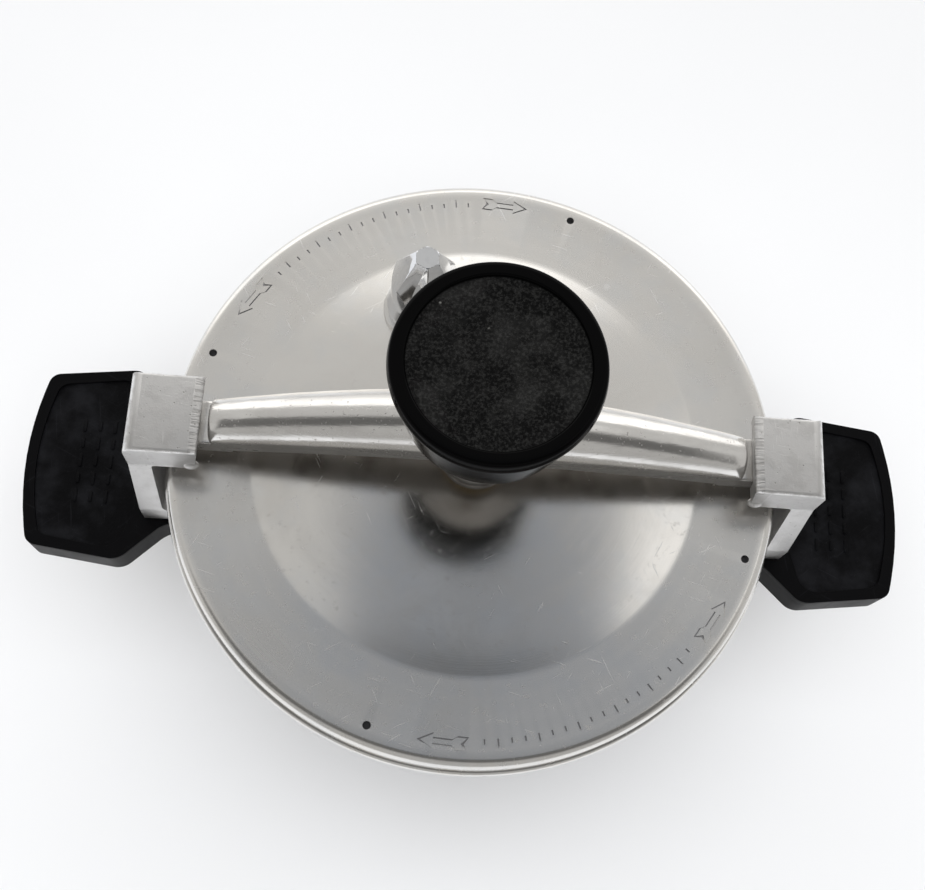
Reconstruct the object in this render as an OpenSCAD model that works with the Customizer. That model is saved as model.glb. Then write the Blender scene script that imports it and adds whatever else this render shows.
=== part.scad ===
// Stovetop pressure cooker with a clamp bar, a screw knob and a weighted valve.
// Millimetres, +Z up. The origin is the centre of the base's underside.
// +X runs along the clamp bar, from one side handle to the other.
// The rim plane is the flat top of the lid's outer ring; "above the rim" counts from it.

/* [Pot] */
// Height of the rim plane above the base
rim_z = 150; // [120:1:220]
// Outer radius of the pot wall
pot_r = 104; // [90:0.5:125]
// Thickness of the pot wall
pot_wall = 3.5; // [2.5:0.1:5]
// Thickness of the pot base
base_t = 6; // [4:0.5:9]
// Radius of the rounded corner between wall and base
corner_r = 14; // [9:0.5:20]
// How far the pot's lip stands out of the wall
lip_w = 6.7; // [5:0.1:9]
// Thickness of the pot's lip
lip_t = 4; // [3:0.1:6]

/* [Lid] */
// Thickness of the lid
lid_t = 3; // [2:0.1:4]
// Free gap between the pot's lip and the lid's skirt
skirt_gap = 1.3; // [0.8:0.1:2]
// Depth of the lid's skirt below the rim plane
skirt_h = 10.5; // [9.5:0.5:12]
// Radius of the bead rolled round the skirt's lower edge
bead_r = 1.7; // [1:0.1:2.2]
// Radius of the lid's rounded outer edge
lid_edge_r = 3.5; // [2:0.1:4]
// Width of the flat outer ring that carries the engraving
ring_w = 31; // [26:0.5:36]
// Height of the step from the outer ring to the crowned centre
step_h = 1.6; // [0.8:0.1:3]
// Height of the crown over the step
crown_h = 3.4; // [2:0.1:6]
// Thickness of the sealing ring
gasket_t = 4.7; // [4:0.1:6]
// Width of the sealing ring
gasket_w = 7.5; // [6:0.1:9]
// Radius of each edge vent
vent_r = 1.5; // [1:0.1:2]
// Distance of the edge vents from the lid's outer edge
vent_inset = 7.6; // [6:0.1:9]
// Bearing of the first edge vent, in degrees
vent_bearing = 71.8; // [60:0.1:80]
// Depth of the engraved arrows and ticks
engrave = 0.35; // [0.2:0.05:0.6]

/* [Valve] */
// Place of the valve along the clamp bar
valve_x = -23.5; // [-28:0.5:-18]
// Place of the valve across the clamp bar
valve_y = 57; // [54:0.5:60]
// Radius of the valve's lower skirt
weight_skirt_r = 14; // [12:0.1:15]
// Radius over the corners of the valve's hexagon, at its wide end
weight_hex_r = 12.4; // [11:0.1:13]
// Height of the weight
weight_h = 41; // [36:0.5:44]
// Radius of the weight's small flat top
weight_top_r = 4.4; // [3.5:0.1:6]
// Outer radius of the vent pipe
pipe_r = 4.2; // [3.5:0.1:4.6]
// Radius of the steam hole through the vent pipe
pipe_bore_r = 1.4; // [1:0.1:2]

/* [Lugs] */
// Width of a lug's hook across the bar
lug_w = 29.6; // [26:0.1:34]
// Length of a lug's hook over the lid's edge
hook_len = 18.4; // [14:0.1:20]
// Thickness of the hook's top plate
hook_t = 7.3; // [6:0.1:10]
// Height of the hook's underside above the rim
hook_z = 16.5; // [15:0.1:20]
// Depth of the hook's front cheek below its top plate
cheek_h = 10; // [7:0.1:11]
// Thickness of a lug's leg
leg_t = 9; // [7:0.1:12]
// Free gap between the lid's bead and a lug's leg
leg_gap = 1.6; // [1.2:0.1:3]
// Width of a lug where it stands on the handle
lug_foot_w = 45; // [40:0.5:50]
// Depth of a lug's foot below the rim
lug_drop = 40; // [36:0.5:60]
// Thickness of a lug's foot
foot_t = 13; // [10:0.5:16]
// Thickness of the pad riveted to the pot wall
pad_t = 5.5; // [4:0.1:7]
// Radius of the rivet shanks
rivet_r = 3; // [2:0.1:3.5]

/* [Handles] */
// Reach of a handle beyond the pot wall
handle_reach = 73; // [60:0.5:85]
// Thickness of a handle
handle_t = 15.6; // [13:0.1:18]
// Width of a handle's grip at its shoulders
grip_w = 80; // [70:0.5:90]
// Width of a handle's grip at its outer end
grip_end_w = 71; // [60:0.5:80]
// Width of a handle's neck
neck_w = 47; // [46:0.5:56]
// Bulge of a handle's outer end
end_bulge = 5; // [2:0.5:8]
// Width of the raised border round a handle's panel
border_w = 4.2; // [3:0.1:6]
// Depth of a handle's panel below its border
panel_d = 1.3; // [0.5:0.1:2]
// Radius of the handle screws
screw_r = 2.5; // [2:0.1:3]

/* [Clamp bar] */
// Width of the bar's tongues
tongue_w = 16.4; // [14:0.1:18]
// Thickness of the bar's tongues
tongue_t = 8.2; // [6.5:0.1:9]
// Width of the bar at its middle
bar_w = 24; // [20:0.1:28]
// Rise of the arch from tongues to middle
bar_rise = 18; // [15:0.5:24]
// Radius of the boss that holds the screw
boss_r = 24; // [20:0.5:25]

/* [Screw and knob] */
// Radius of the clamp screw
spindle_r = 6; // [5:0.1:7]
// Running clearance round the clamp screw
run = 0.05; // [0.02:0.01:0.1]
// Radius of the pressure foot
press_r = 14; // [12:0.5:18]
// Height of the pressure foot's flange
press_t = 5; // [4:0.1:7]
// Radius of the knob at its widest
knob_r = 35; // [30:0.5:40]
// Height of the knob
knob_h = 35; // [28:0.5:44]
// Gap between the bar's boss and the knob's hub
knob_gap = 4; // [2:0.5:8]
// Radius of the sunk field on the knob's top
field_r = 29; // [24:0.5:31]
// Depth of the sunk field on the knob's top
field_d = 1.4; // [0.5:0.1:2]

/* [Hidden] */
$fn = 96;

// Clearance between pieces that move apart
gap = 0.3;
// Clearance between pieces of one assembly that only touch
touch = 0.05;
// Overshoot of a cutting body
over = 1;

// Pot and lid
pot_in = pot_r - pot_wall;
lip_r = pot_r + lip_w;
lid_r = lip_r + skirt_gap + lid_t;
bead_out = lid_r + bead_r;
step_r = lid_r - ring_w;
lid_under = rim_z - lid_t;
gasket_top = lid_under - touch;
lip_top = gasket_top - gasket_t - gap;
gasket_out = lip_r - 0.3;
vent_ring_r = lid_r - vent_inset;
crown_top = rim_z + step_h + crown_h;
function crown_z(r) = rim_z + step_h + crown_h * (1 - pow(r / step_r, 2));

// Lugs and handles
leg_in = bead_out + leg_gap;
leg_out = leg_in + leg_t;
hook_in = leg_in - hook_len;
hook_under = rim_z + hook_z;
hook_top = hook_under + hook_t;
foot_bottom = rim_z - lug_drop;
foot_top = foot_bottom + foot_t;
lip_fillet = 3;
fillet_z = lip_top - lip_t - lip_fillet;
pad_top = min(rim_z - skirt_h - bead_r - 2.5, fillet_z - 0.4);
pad_out = pot_r + pad_t;
handle_top = foot_bottom - touch;
handle_bottom = handle_top - handle_t;
handle_out = pot_r + handle_reach;
handle_in = pot_r + 0.6;
hs_x = (pad_out + leg_out) / 2;
hs_y = lug_foot_w / 2 - 8.5;
hs_grip = 9.5;
washer_r = screw_r + 2.6;
washer_t = 1;
head_r = screw_r + 2.2;
head_t = 3;
sink_t = head_t + washer_t + 0.8;
rivet_head_r = rivet_r * 1.65;
rivet_head_t = rivet_r * 0.7;
rivet_y = lug_w / 2 - 2.5;
rivet_turn = asin(rivet_y / pot_r);
rivet_z = (pad_top + foot_top) / 2;

// Clamp bar
tongue_top = hook_under - gap;
tongue_bottom = tongue_top - tongue_t;
tongue_end = leg_in - 1;
rib_end = hook_in - 2.7;
boss_top = tongue_top + bar_rise + bar_w / 2 + 1;
bush_r = spindle_r + 3;
bush_flange_r = bush_r + 3;
boss_bottom = tongue_bottom + bar_rise * (1 - pow(bush_flange_r / rib_end, 1.7));

// Screw and knob
press_bottom = crown_top + gap;
press_top = press_bottom + press_t;
neck_top = press_top + 4;
tip_r = spindle_r - 2;
tip_bottom = press_bottom + 1.6;
clip_t = 1.2;
knob_bottom = boss_top + knob_gap;
knob_top = knob_bottom + 6.5 + knob_h;
insert_r = spindle_r + 3.5;
insert_h = 20;
insert_bottom = knob_bottom;
spindle_top = insert_bottom + insert_h - 2;
hub_r = insert_r + 6.5;
pin_r = 1.6;
pin_z = knob_bottom + 3.4;

// Valve
valve_d = sqrt(valve_x * valve_x + valve_y * valve_y);
seat_r = weight_skirt_r + 1.2;
seat_top = crown_z(valve_d - seat_r) + 0.6;
seat_under = crown_z(valve_d + seat_r) - lid_t - 0.6;
pipe_flange_r = 7;
pipe_flange_t = 3;
pipe_top = seat_top + 21;
thread_r = pipe_r + 0.6;
weight_bottom = seat_top + 0.8;
weight_top = weight_bottom + weight_h;
weight_bore_r = pipe_r + 0.5;
weight_bore_top = pipe_top + 6;
weight_lift = 4;
needle_r = 2;
groove_z = seat_top + 9;
clip_z = groove_z + 1.1;
clip_h = 1.2;

// An arc of points, as a list
function arc(cx, cy, r, a0, a1, n = 8) =
    [for (i = [0:n]) let (a = a0 + (a1 - a0) * i / n) [cx + r * cos(a), cy + r * sin(a)]];
function rev(list) = [for (i = [len(list) - 1:-1:0]) list[i]];
function unit2(v) = v / norm(v);
// Points of one corner b of an outline, rounded to radius r
function corner(a, b, c, r, n = 8) =
    let (u = unit2(a - b), v = unit2(c - b), half = acos(u * v) / 2,
        m = unit2(u + v), o = b + m * r / sin(half),
        s = b + u * r / tan(half), e = b + v * r / tan(half),
        a0 = atan2(s[1] - o[1], s[0] - o[0]), raw = atan2(e[1] - o[1], e[0] - o[0]) - a0,
        sweep = raw > 180 ? raw - 360 : (raw < -180 ? raw + 360 : raw))
    [for (i = [0:n]) o + r * [cos(a0 + sweep * i / n), sin(a0 + sweep * i / n)]];
// An outline from rows of [x, y, corner radius]
function rounded(rows, n = 8) =
    let (k = len(rows))
    [for (i = [0:k - 1])
        let (p = rows[i], q = rows[(i + k - 1) % k], w = rows[(i + 1) % k])
        each (p[2] > 0 ? corner([q[0], q[1]], [p[0], p[1]], [w[0], w[1]], p[2], n)
            : [[p[0], p[1]]])];

module ring(r_out, r_in, z0, h) {
    translate([0, 0, z0]) difference() {
        cylinder(r = r_out, h = h);
        translate([0, 0, -over]) cylinder(r = r_in, h = h + 2 * over);
    }
}

// Everything named "right" is built on +X and turned half round for "left"
module left() {
    rotate([0, 0, 180]) mirror([0, 1, 0]) children();
}

// ---------------------------------------------------------------- pot
module pot_profile() {
    inner_r = corner_r - pot_wall;
    polygon(concat(
        [[0, 0]],
        arc(pot_r - corner_r, corner_r, corner_r, -90, 0, 10),
        rev(arc(pot_r + lip_fillet, fillet_z, lip_fillet, 90, 180, 4)),
        arc(lip_r - lip_t / 2, lip_top - lip_t / 2, lip_t / 2, -90, 90, 8),
        [[pot_in, lip_top]],
        rev(arc(pot_in - inner_r, base_t + inner_r, inner_r, -90, 0, 8)),
        [[0, base_t]]));
}

module rivet_holes() {
    for (s = [-1, 1])
        rotate([0, 0, s * rivet_turn]) translate([pot_in - 10, 0, rivet_z])
            rotate([0, 90, 0]) cylinder(r = rivet_r + touch, h = pad_out - pot_in + 14);
}

module pot_body() {
    color("silver") difference() {
        rotate_extrude($fn = 180) pot_profile();
        rivet_holes();
        left() rivet_holes();
    }
}

// ---------------------------------------------------------------- lugs
// Side view of a lug's leg, hook plate and foot
module lug_side() {
    translate([0, lug_w, 0]) rotate([90, 0, 0]) linear_extrude(2 * lug_w)
        polygon(rounded([
            [pot_r - over, foot_bottom, 0], [leg_out, foot_bottom, 1],
            [leg_out - 1, hook_top, 4.5], [hook_in, hook_top, 1.2],
            [hook_in + 2.6, hook_under - cheek_h, 1.6], [leg_in, hook_under - cheek_h, 1.5],
            [leg_in, foot_top, 3], [pot_r - over, foot_top, 0]], 6));
}

// End view of a lug: straight hook, flared leg
module lug_front() {
    w = lug_w / 2;
    f = lug_foot_w / 2;
    translate([pot_r - 10, 0, 0]) rotate([90, 0, 90]) linear_extrude(60)
        polygon(rounded([
            [-f, foot_bottom, 0.8], [f, foot_bottom, 0.8], [f, foot_top, 8],
            [w, hook_under - cheek_h, 12], [w, hook_top, 1.6], [-w, hook_top, 1.6],
            [-w, hook_under - cheek_h, 12], [-f, foot_top, 8]], 6));
}

// The room for the bar's tongue: open to the middle, to the back and below
module tongue_room() {
    front = tongue_w / 2 + gap + 0.1;
    translate([hook_in - over, -front, hook_under - cheek_h - over])
        cube([leg_in - hook_in + over, lug_w + front, cheek_h + over]);
}

module lug_right() {
    color("darkgray") difference() {
        union() {
            intersection() {
                lug_side();
                lug_front();
            }
            // Pad that lies on the wall
            intersection() {
                ring(pad_out, pot_r - over, foot_bottom, pad_top - foot_bottom);
                translate([pot_r - 20, -lug_foot_w / 2 + 2, foot_bottom])
                    cube([40, lug_foot_w - 4, lug_drop]);
            }
        }
        translate([0, 0, foot_bottom - over]) cylinder(r = pot_r + touch, h = lug_drop + over, $fn = 180);
        tongue_room();
        rivet_holes();
        for (s = [-1, 1])
            translate([hs_x, s * hs_y, foot_bottom - over])
                cylinder(r = screw_r + touch, h = hs_grip + over);
    }
}

module lug_left() {
    left() lug_right();
}

module lug_rivets_right() {
    out = pad_out + 0.2;
    in = pot_in - 0.25;
    color("gainsboro") for (s = [-1, 1])
        rotate([0, 0, s * rivet_turn]) translate([0, 0, rivet_z]) rotate([0, 90, 0]) {
            translate([0, 0, in - over]) cylinder(r = rivet_r, h = out - in + 2 * over);
            translate([0, 0, out]) rivet_head();
            translate([0, 0, in]) mirror([0, 0, 1]) rivet_head();
        }
}

module rivet_head() {
    ball_r = (rivet_head_r * rivet_head_r + rivet_head_t * rivet_head_t) / (2 * rivet_head_t);
    intersection() {
        cylinder(r = rivet_head_r, h = rivet_head_t);
        translate([0, 0, rivet_head_t - ball_r]) sphere(r = ball_r);
    }
}

module lug_rivets_left() {
    left() lug_rivets_right();
}

// ---------------------------------------------------------------- handles
// Plan of a handle, shrunk by inset for the sunk panel
module handle_plan(inset) {
    shoulder_x = pot_r + 37;
    g = grip_w / 2 - inset;
    e = grip_end_w / 2 - inset;
    n = neck_w / 2;
    x_end = handle_out - end_bulge - inset;
    bulge = end_bulge;
    end_half = [for (t = [-0.8:0.4:0.8]) [x_end + bulge * (1 - t * t), e * t]];
    neck = inset > 0
        ? [[leg_out + 4, -n + 2 * inset, 3], [shoulder_x - 4, -g, 8]]
        : [[handle_in - 10, -n, 0], [pot_r + 15, -n, 14], [shoulder_x - 5, -g, 8]];
    rows = concat(neck, [[x_end + 0.1, -e, 5]],
        [for (p = end_half) [p[0], p[1], 0]],
        [[x_end + 0.1, e, 5]], [for (p = rev(neck)) [p[0], -p[1], p[2]]]);
    polygon(rounded(rows, 8));
}

module handle_right() {
    color([0.08, 0.08, 0.09]) difference() {
        translate([0, 0, handle_bottom]) linear_extrude(handle_t) handle_plan(0);
        translate([0, 0, handle_top - panel_d]) linear_extrude(panel_d + over) handle_plan(border_w);
        translate([0, 0, handle_bottom - over]) cylinder(r = handle_in, h = handle_t + 2 * over, $fn = 180);
        for (s = [-1, 1]) translate([hs_x, s * hs_y, handle_bottom - over]) {
            cylinder(r = screw_r + 0.3, h = handle_t + 2 * over);
            cylinder(r = washer_r + 0.3, h = sink_t + over);
        }
    }
}

module handle_left() {
    left() handle_right();
}

module handle_screws_right() {
    seat = handle_bottom + sink_t - washer_t - 2 * touch;
    color("gray") for (s = [-1, 1])
        translate([hs_x, s * hs_y, seat]) difference() {
            union() {
                cylinder(r = screw_r, h = foot_bottom + hs_grip - 1 - seat);
                translate([0, 0, -head_t]) cylinder(r = head_r, h = head_t);
            }
            translate([-head_r, -0.6, -head_t - over]) cube([2 * head_r, 1.2, over + 1.3]);
        }
}

module handle_screws_left() {
    left() handle_screws_right();
}

module handle_washers_right() {
    color("lightgray") for (s = [-1, 1])
        translate([hs_x, s * hs_y, 0])
            ring(washer_r, screw_r + 0.2, handle_bottom + sink_t - washer_t - touch, washer_t);
}

module handle_washers_left() {
    left() handle_washers_right();
}

// ---------------------------------------------------------------- lid
module lid_profile() {
    crown = [for (i = [0:14]) let (r = (step_r - 3) * i / 14) [r, crown_z(r)]];
    under = [for (p = crown) [p[0], p[1] - lid_t]];
    skirt_in = lid_r - lid_t;
    skirt_z = rim_z - skirt_h;
    e = lid_edge_r;
    polygon(concat(
        crown,
        [[step_r, rim_z], [lid_r - e - 3.4, rim_z], [lid_r - e - 3, rim_z + 0.35], [lid_r - e, rim_z + 0.35]],
        rev(arc(lid_r - e, rim_z - e + 0.35, e, 0, 80, 6)),
        [[lid_r, skirt_z + bead_r]],
        rev(arc(lid_r, skirt_z, bead_r, -90, 90, 8)),
        [[skirt_in, skirt_z - bead_r], [skirt_in, lid_under], [step_r + 2, lid_under]],
        rev(under)));
}

// A straight arrow along +X, centred, as an outline groove
module arrow_outline() {
    function a(s) = [[-9.2, 2.6 - s], [-5.4, 2.6 - s], [-3.6, 1.3 - s], [3.4, 1.3 - s],
        [3.4, 2.9 - s], [9 - 1.6 * s, 0],
        [3.4, -2.9 + s], [3.4, -1.3 + s], [-3.6, -1.3 + s], [-5.4, -2.6 + s], [-9.2, -2.6 + s],
        [-7.6 + s, 0]];
    difference() {
        polygon(a(0));
        translate([0.15, 0]) polygon([for (p = a(0.55)) [p[0] * 0.94, p[1]]]);
    }
}

module engraving() {
    arrow_turn = 14.5;
    first = vent_bearing + arrow_turn;
    last = vent_bearing + 90 - arrow_turn;
    edge = 8;
    ticks = 17;
    cut = engrave + over;
    for (half = [0, 180]) {
        rotate([0, 0, first + half]) translate([vent_ring_r - 1, 0, rim_z - engrave])
            rotate([0, 0, -90]) linear_extrude(cut) arrow_outline();
        rotate([0, 0, last + half]) translate([vent_ring_r - 1, 0, rim_z - engrave])
            rotate([0, 0, 90]) linear_extrude(cut) arrow_outline();
        for (i = [0:ticks])
            rotate([0, 0, half + first + edge + (last - first - 2 * edge) * i / ticks])
                translate([vent_ring_r - 2.6, -0.3, rim_z - engrave])
                    cube([i % 3 == 1 ? 3.2 : 1.8, 0.6, cut]);
    }
}

module lid() {
    color("lightgray") difference() {
        union() {
            rotate_extrude($fn = 180) lid_profile();
            // Thickened seat for the valve
            translate([valve_x, valve_y, seat_under]) cylinder(r = seat_r, h = seat_top - seat_under);
        }
        translate([valve_x, valve_y, seat_under - over])
            cylinder(r = thread_r + touch, h = seat_top - seat_under + 2 * over);
        for (k = [0:3])
            rotate([0, 0, vent_bearing + 90 * k]) translate([vent_ring_r, 0, lid_under - over])
                cylinder(r = vent_r, h = lid_t + 2 * over, $fn = 32);
        engraving();
    }
}

module gasket() {
    bottom = gasket_top - gasket_t;
    r0 = gasket_out - gasket_w;
    color("dimgray") rotate_extrude($fn = 180)
        polygon(rounded([
            [r0, bottom, 0.8], [gasket_out - 1, bottom, 0.8], [gasket_out, gasket_top - 2, 0],
            [gasket_out, gasket_top, 0.5], [r0 + 1, gasket_top, 0.5], [r0 + 1, bottom + 3, 0],
            [r0, bottom + 2, 0]], 4));
}

// ---------------------------------------------------------------- valve
module at_valve() {
    translate([valve_x, valve_y, 0]) children();
}

module vent_pipe() {
    end = seat_under - 9;
    color("lightslategray") at_valve() difference() {
        union() {
            translate([0, 0, end]) cylinder(r = thread_r, h = seat_top - end + 1);
            translate([0, 0, seat_top + touch]) cylinder(r = pipe_flange_r, h = pipe_flange_t);
            translate([0, 0, seat_top + 1]) cylinder(r = pipe_r, h = pipe_top - seat_top - 3);
            translate([0, 0, pipe_top - 2]) cylinder(r1 = pipe_r, r2 = pipe_bore_r + 0.9, h = 2);
        }
        translate([0, 0, end - over]) cylinder(r = pipe_bore_r, h = pipe_top - end + 2 * over);
        // Long groove in which the clip rides up as the weight lifts
        ring(pipe_r + 1, pipe_r - 0.7, groove_z, clip_z - groove_z + clip_h + weight_lift + 0.5);
    }
}

module pipe_washer() {
    color("dimgray") at_valve() ring(9, thread_r + 0.1, seat_under - touch - 1.5, 1.5);
}

module pipe_nut() {
    top = seat_under - 2 * touch - 1.5;
    color("goldenrod") at_valve() translate([0, 0, top - 5]) difference() {
        cylinder(r = 8.7, h = 5, $fn = 6);
        translate([0, 0, -over]) cylinder(r = thread_r + touch, h = 5 + 2 * over);
    }
}

module valve_weight() {
    s = weight_skirt_r;
    c = weight_hex_r;
    wide_z = weight_top - 16;
    narrow_z = weight_top - 1.2;
    flat_lean = atan((c - weight_top_r - 0.8) * cos(30) / (narrow_z - wide_z));
    color("whitesmoke") at_valve() difference() {
        rotate_extrude()
            polygon(rounded([
                [0, weight_bottom, 0], [s - 1.2, weight_bottom, 0.8], [s - 0.6, weight_bottom + 2.5, 0],
                [s, weight_bottom + 3, 0.5], [s, weight_bottom + 6, 1.5], [c + 0.2, weight_bottom + 12, 12],
                [c, wide_z, 3], [weight_top_r + 0.8, narrow_z, 0.8],
                [weight_top_r, weight_top, 0.5], [0, weight_top, 0]], 6));
        // Six leaning flats
        for (k = [0:5])
            rotate([0, 0, 60 * k + 3]) translate([c * cos(30), 0, wide_z]) rotate([0, -flat_lean, 0])
                translate([0, -c, -c]) cube([2 * c, 2 * c, 4 * c]);
        translate([0, 0, weight_bottom - over])
            cylinder(r = weight_bore_r, h = weight_bore_top - weight_bottom + over);
        translate([0, 0, weight_bottom - over]) cylinder(r = pipe_flange_r + 1, h = 5 + over);
        translate([0, 0, weight_bore_top - over]) cylinder(r = needle_r + touch, h = 4 + over);
        // Groove for the clip
        translate([0, 0, clip_z - 0.1]) cylinder(r = weight_bore_r + 0.8, h = clip_h + 0.2);
    }
}

module valve_needle() {
    color("silver") at_valve() {
        translate([0, 0, weight_bore_top - 4]) cylinder(r = needle_r, h = 7.8);
        translate([0, 0, pipe_top + gap])
            cylinder(r1 = pipe_bore_r - 0.2, r2 = 3, h = weight_bore_top - 3 - pipe_top);
    }
}

module weight_clip() {
    color("gray") at_valve() difference() {
        ring(weight_bore_r + 0.7, pipe_r - 0.35, clip_z, clip_h);
        translate([0, -1, clip_z - over]) cube([9, 2, clip_h + 2 * over]);
    }
}

// ---------------------------------------------------------------- clamp bar
function along(x) = min(1, abs(x) / rib_end);
// Height of the plane between the flat sides and the round rib
function spring_z(x) = tongue_top + bar_rise * (1 - pow(along(x), 1.7));
function half_w(x) = tongue_w / 2 + (bar_w - tongue_w) / 2 * (1 - pow(along(x), 1.5));
// One section of the arch: a flat-sided web under a half-round rib
function section(x, scale = 1) =
    let (w = half_w(x) * scale, z = spring_z(x), n = 14)
    concat([[x, w - 0.8, z - tongue_t], [x, w, z - tongue_t + 0.8]],
        [for (i = [0:n]) [x, w * cos(180 * i / n), z + w * sin(180 * i / n)]],
        [[x, -w, z - tongue_t + 0.8], [x, -w + 0.8, z - tongue_t]]);

module arch() {
    steps = 44;
    xs = [for (i = [0:steps]) -rib_end + 1.2 + (2 * rib_end - 2.4) * i / steps];
    rows = concat([section(-rib_end, 0.9)], [for (x = xs) section(x)], [section(rib_end, 0.9)]);
    k = len(rows[0]);
    m = len(rows);
    sides = [for (j = [0:m - 2]) for (i = [0:k - 1])
        [j * k + i, (j + 1) * k + i, (j + 1) * k + (i + 1) % k, j * k + (i + 1) % k]];
    polyhedron(points = [for (row = rows) each row],
        faces = concat(sides, [[for (i = [0:k - 1]) i]], [[for (i = [k - 1:-1:0]) (m - 1) * k + i]]));
}

module clamp_bar() {
    half = tongue_end - rib_end + 8;
    color("silver") difference() {
        union() {
            arch();
            for (s = [0, 180]) rotate([0, 0, s])
                translate([0, 0, tongue_bottom]) linear_extrude(tongue_t)
                    polygon(rounded([
                        [rib_end - 8, -tongue_w / 2, 0], [rib_end - 8 + half, -tongue_w / 2, 1.5],
                        [rib_end - 8 + half, tongue_w / 2, 1.5], [rib_end - 8, tongue_w / 2, 0]], 4));
            rotate_extrude()
                polygon(rounded([
                    [0, boss_bottom, 0], [boss_r * 0.62, boss_bottom, 1.5], [boss_r, boss_top - 7, 4],
                    [boss_r - 3, boss_top, 2.5], [0, boss_top, 0]], 6));
        }
        translate([0, 0, boss_bottom - over])
            cylinder(r = bush_r + touch, h = boss_top - boss_bottom + 2 * over);
    }
}

module bar_bush() {
    color("peru") union() {
        ring(bush_r, spindle_r + run, boss_bottom - 0.1, boss_top - boss_bottom - 0.4);
        ring(bush_flange_r, spindle_r + run, boss_bottom - touch - 2, 2);
    }
}

// ---------------------------------------------------------------- screw and foot
module spindle() {
    slot_z = press_top + 0.6;
    color("gray") difference() {
        union() {
            translate([0, 0, tip_bottom]) cylinder(r = tip_r, h = neck_top - tip_bottom + 1);
            translate([0, 0, neck_top + 0.2]) cylinder(r = spindle_r, h = spindle_top - neck_top - 0.2);
        }
        ring(tip_r + 1, tip_r - 1, slot_z, clip_t + 0.2);
        translate([-spindle_r - over, 0, pin_z]) rotate([0, 90, 0])
            cylinder(r = pin_r + touch, h = 2 * spindle_r + 2 * over, $fn = 32);
    }
}

module pressure_foot() {
    color("darkgray") difference() {
        rotate_extrude()
            polygon(rounded([
                [0, press_bottom, 0], [press_r, press_bottom, 1], [press_r, press_top - 1, 1.2],
                [tip_r + 4.5, press_top + 0.4, 1], [tip_r + 3.6, neck_top - 0.4, 0.6],
                [0, neck_top - 0.4, 0]], 5));
        translate([0, 0, tip_bottom - gap]) cylinder(r = tip_r + run, h = neck_top);
        // Chamber for the clip
        translate([0, 0, press_top + 0.3]) cylinder(r = tip_r + 1.6, h = clip_t + 0.8);
    }
}

module foot_clip() {
    z = press_top + 0.7;
    color("dimgray") difference() {
        ring(tip_r + 1.3, tip_r - 0.9, z, clip_t - 0.1);
        translate([0, -1.2, z - over]) cube([9, 2.4, 4]);
    }
}

// ---------------------------------------------------------------- knob
module knob() {
    skirt_z = knob_bottom + 6.5;
    color([0.05, 0.05, 0.06]) difference() {
        rotate_extrude($fn = 128)
            polygon(rounded([
                [0, knob_bottom, 0], [hub_r, knob_bottom, 1.5], [hub_r + 1.5, skirt_z, 3],
                [knob_r * 0.84, skirt_z, 4], [knob_r - 1.5, knob_top - 12, 14], [knob_r, knob_top - 4, 6],
                [knob_r - 0.8, knob_top, 1.8], [field_r + 0.4, knob_top, 0.8],
                [field_r, knob_top - field_d, 0.4], [0, knob_top - field_d, 0]], 8));
        translate([0, 0, insert_bottom - over]) cylinder(r = insert_r + touch, h = insert_h + over);
        translate([-hub_r - 5, 0, pin_z]) rotate([0, 90, 0])
            cylinder(r = pin_r + touch, h = 2 * hub_r + 10, $fn = 32);
    }
}

module knob_insert() {
    color("goldenrod") difference() {
        translate([0, 0, insert_bottom]) cylinder(r = insert_r, h = insert_h - touch);
        translate([0, 0, insert_bottom - over])
            cylinder(r = spindle_r + touch, h = spindle_top - insert_bottom + over + touch);
        translate([-insert_r - over, 0, pin_z]) rotate([0, 90, 0])
            cylinder(r = pin_r + touch, h = 2 * insert_r + 2 * over, $fn = 32);
    }
}

module knob_pin() {
    color("lightgray") translate([-hub_r + 1, 0, pin_z]) rotate([0, 90, 0])
        cylinder(r = pin_r, h = 2 * hub_r - 2, $fn = 32);
}

pot_body();
lug_left();
lug_right();
lug_rivets_left();
lug_rivets_right();
handle_left();
handle_right();
handle_screws_left();
handle_screws_right();
handle_washers_left();
handle_washers_right();
lid();
gasket();
vent_pipe();
pipe_washer();
pipe_nut();
valve_weight();
valve_needle();
weight_clip();
clamp_bar();
bar_bush();
spindle();
pressure_foot();
foot_clip();
knob();
knob_insert();
knob_pin();
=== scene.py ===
"""A stovetop pressure cooker with a clamp bar, modelled and finished for rendering.

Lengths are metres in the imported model's frame: +X runs along the clamp bar, +Z is up, and
the origin is the centre of the base's underside. Sizes in the classes are in millimetres
times MM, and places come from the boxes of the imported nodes.
"""

from __future__ import annotations

import logging
import math
from dataclasses import dataclass, field
from enum import Enum
from typing import Callable, Sequence, Union

import bmesh
import bpy
from mathutils import Matrix, Vector

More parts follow.
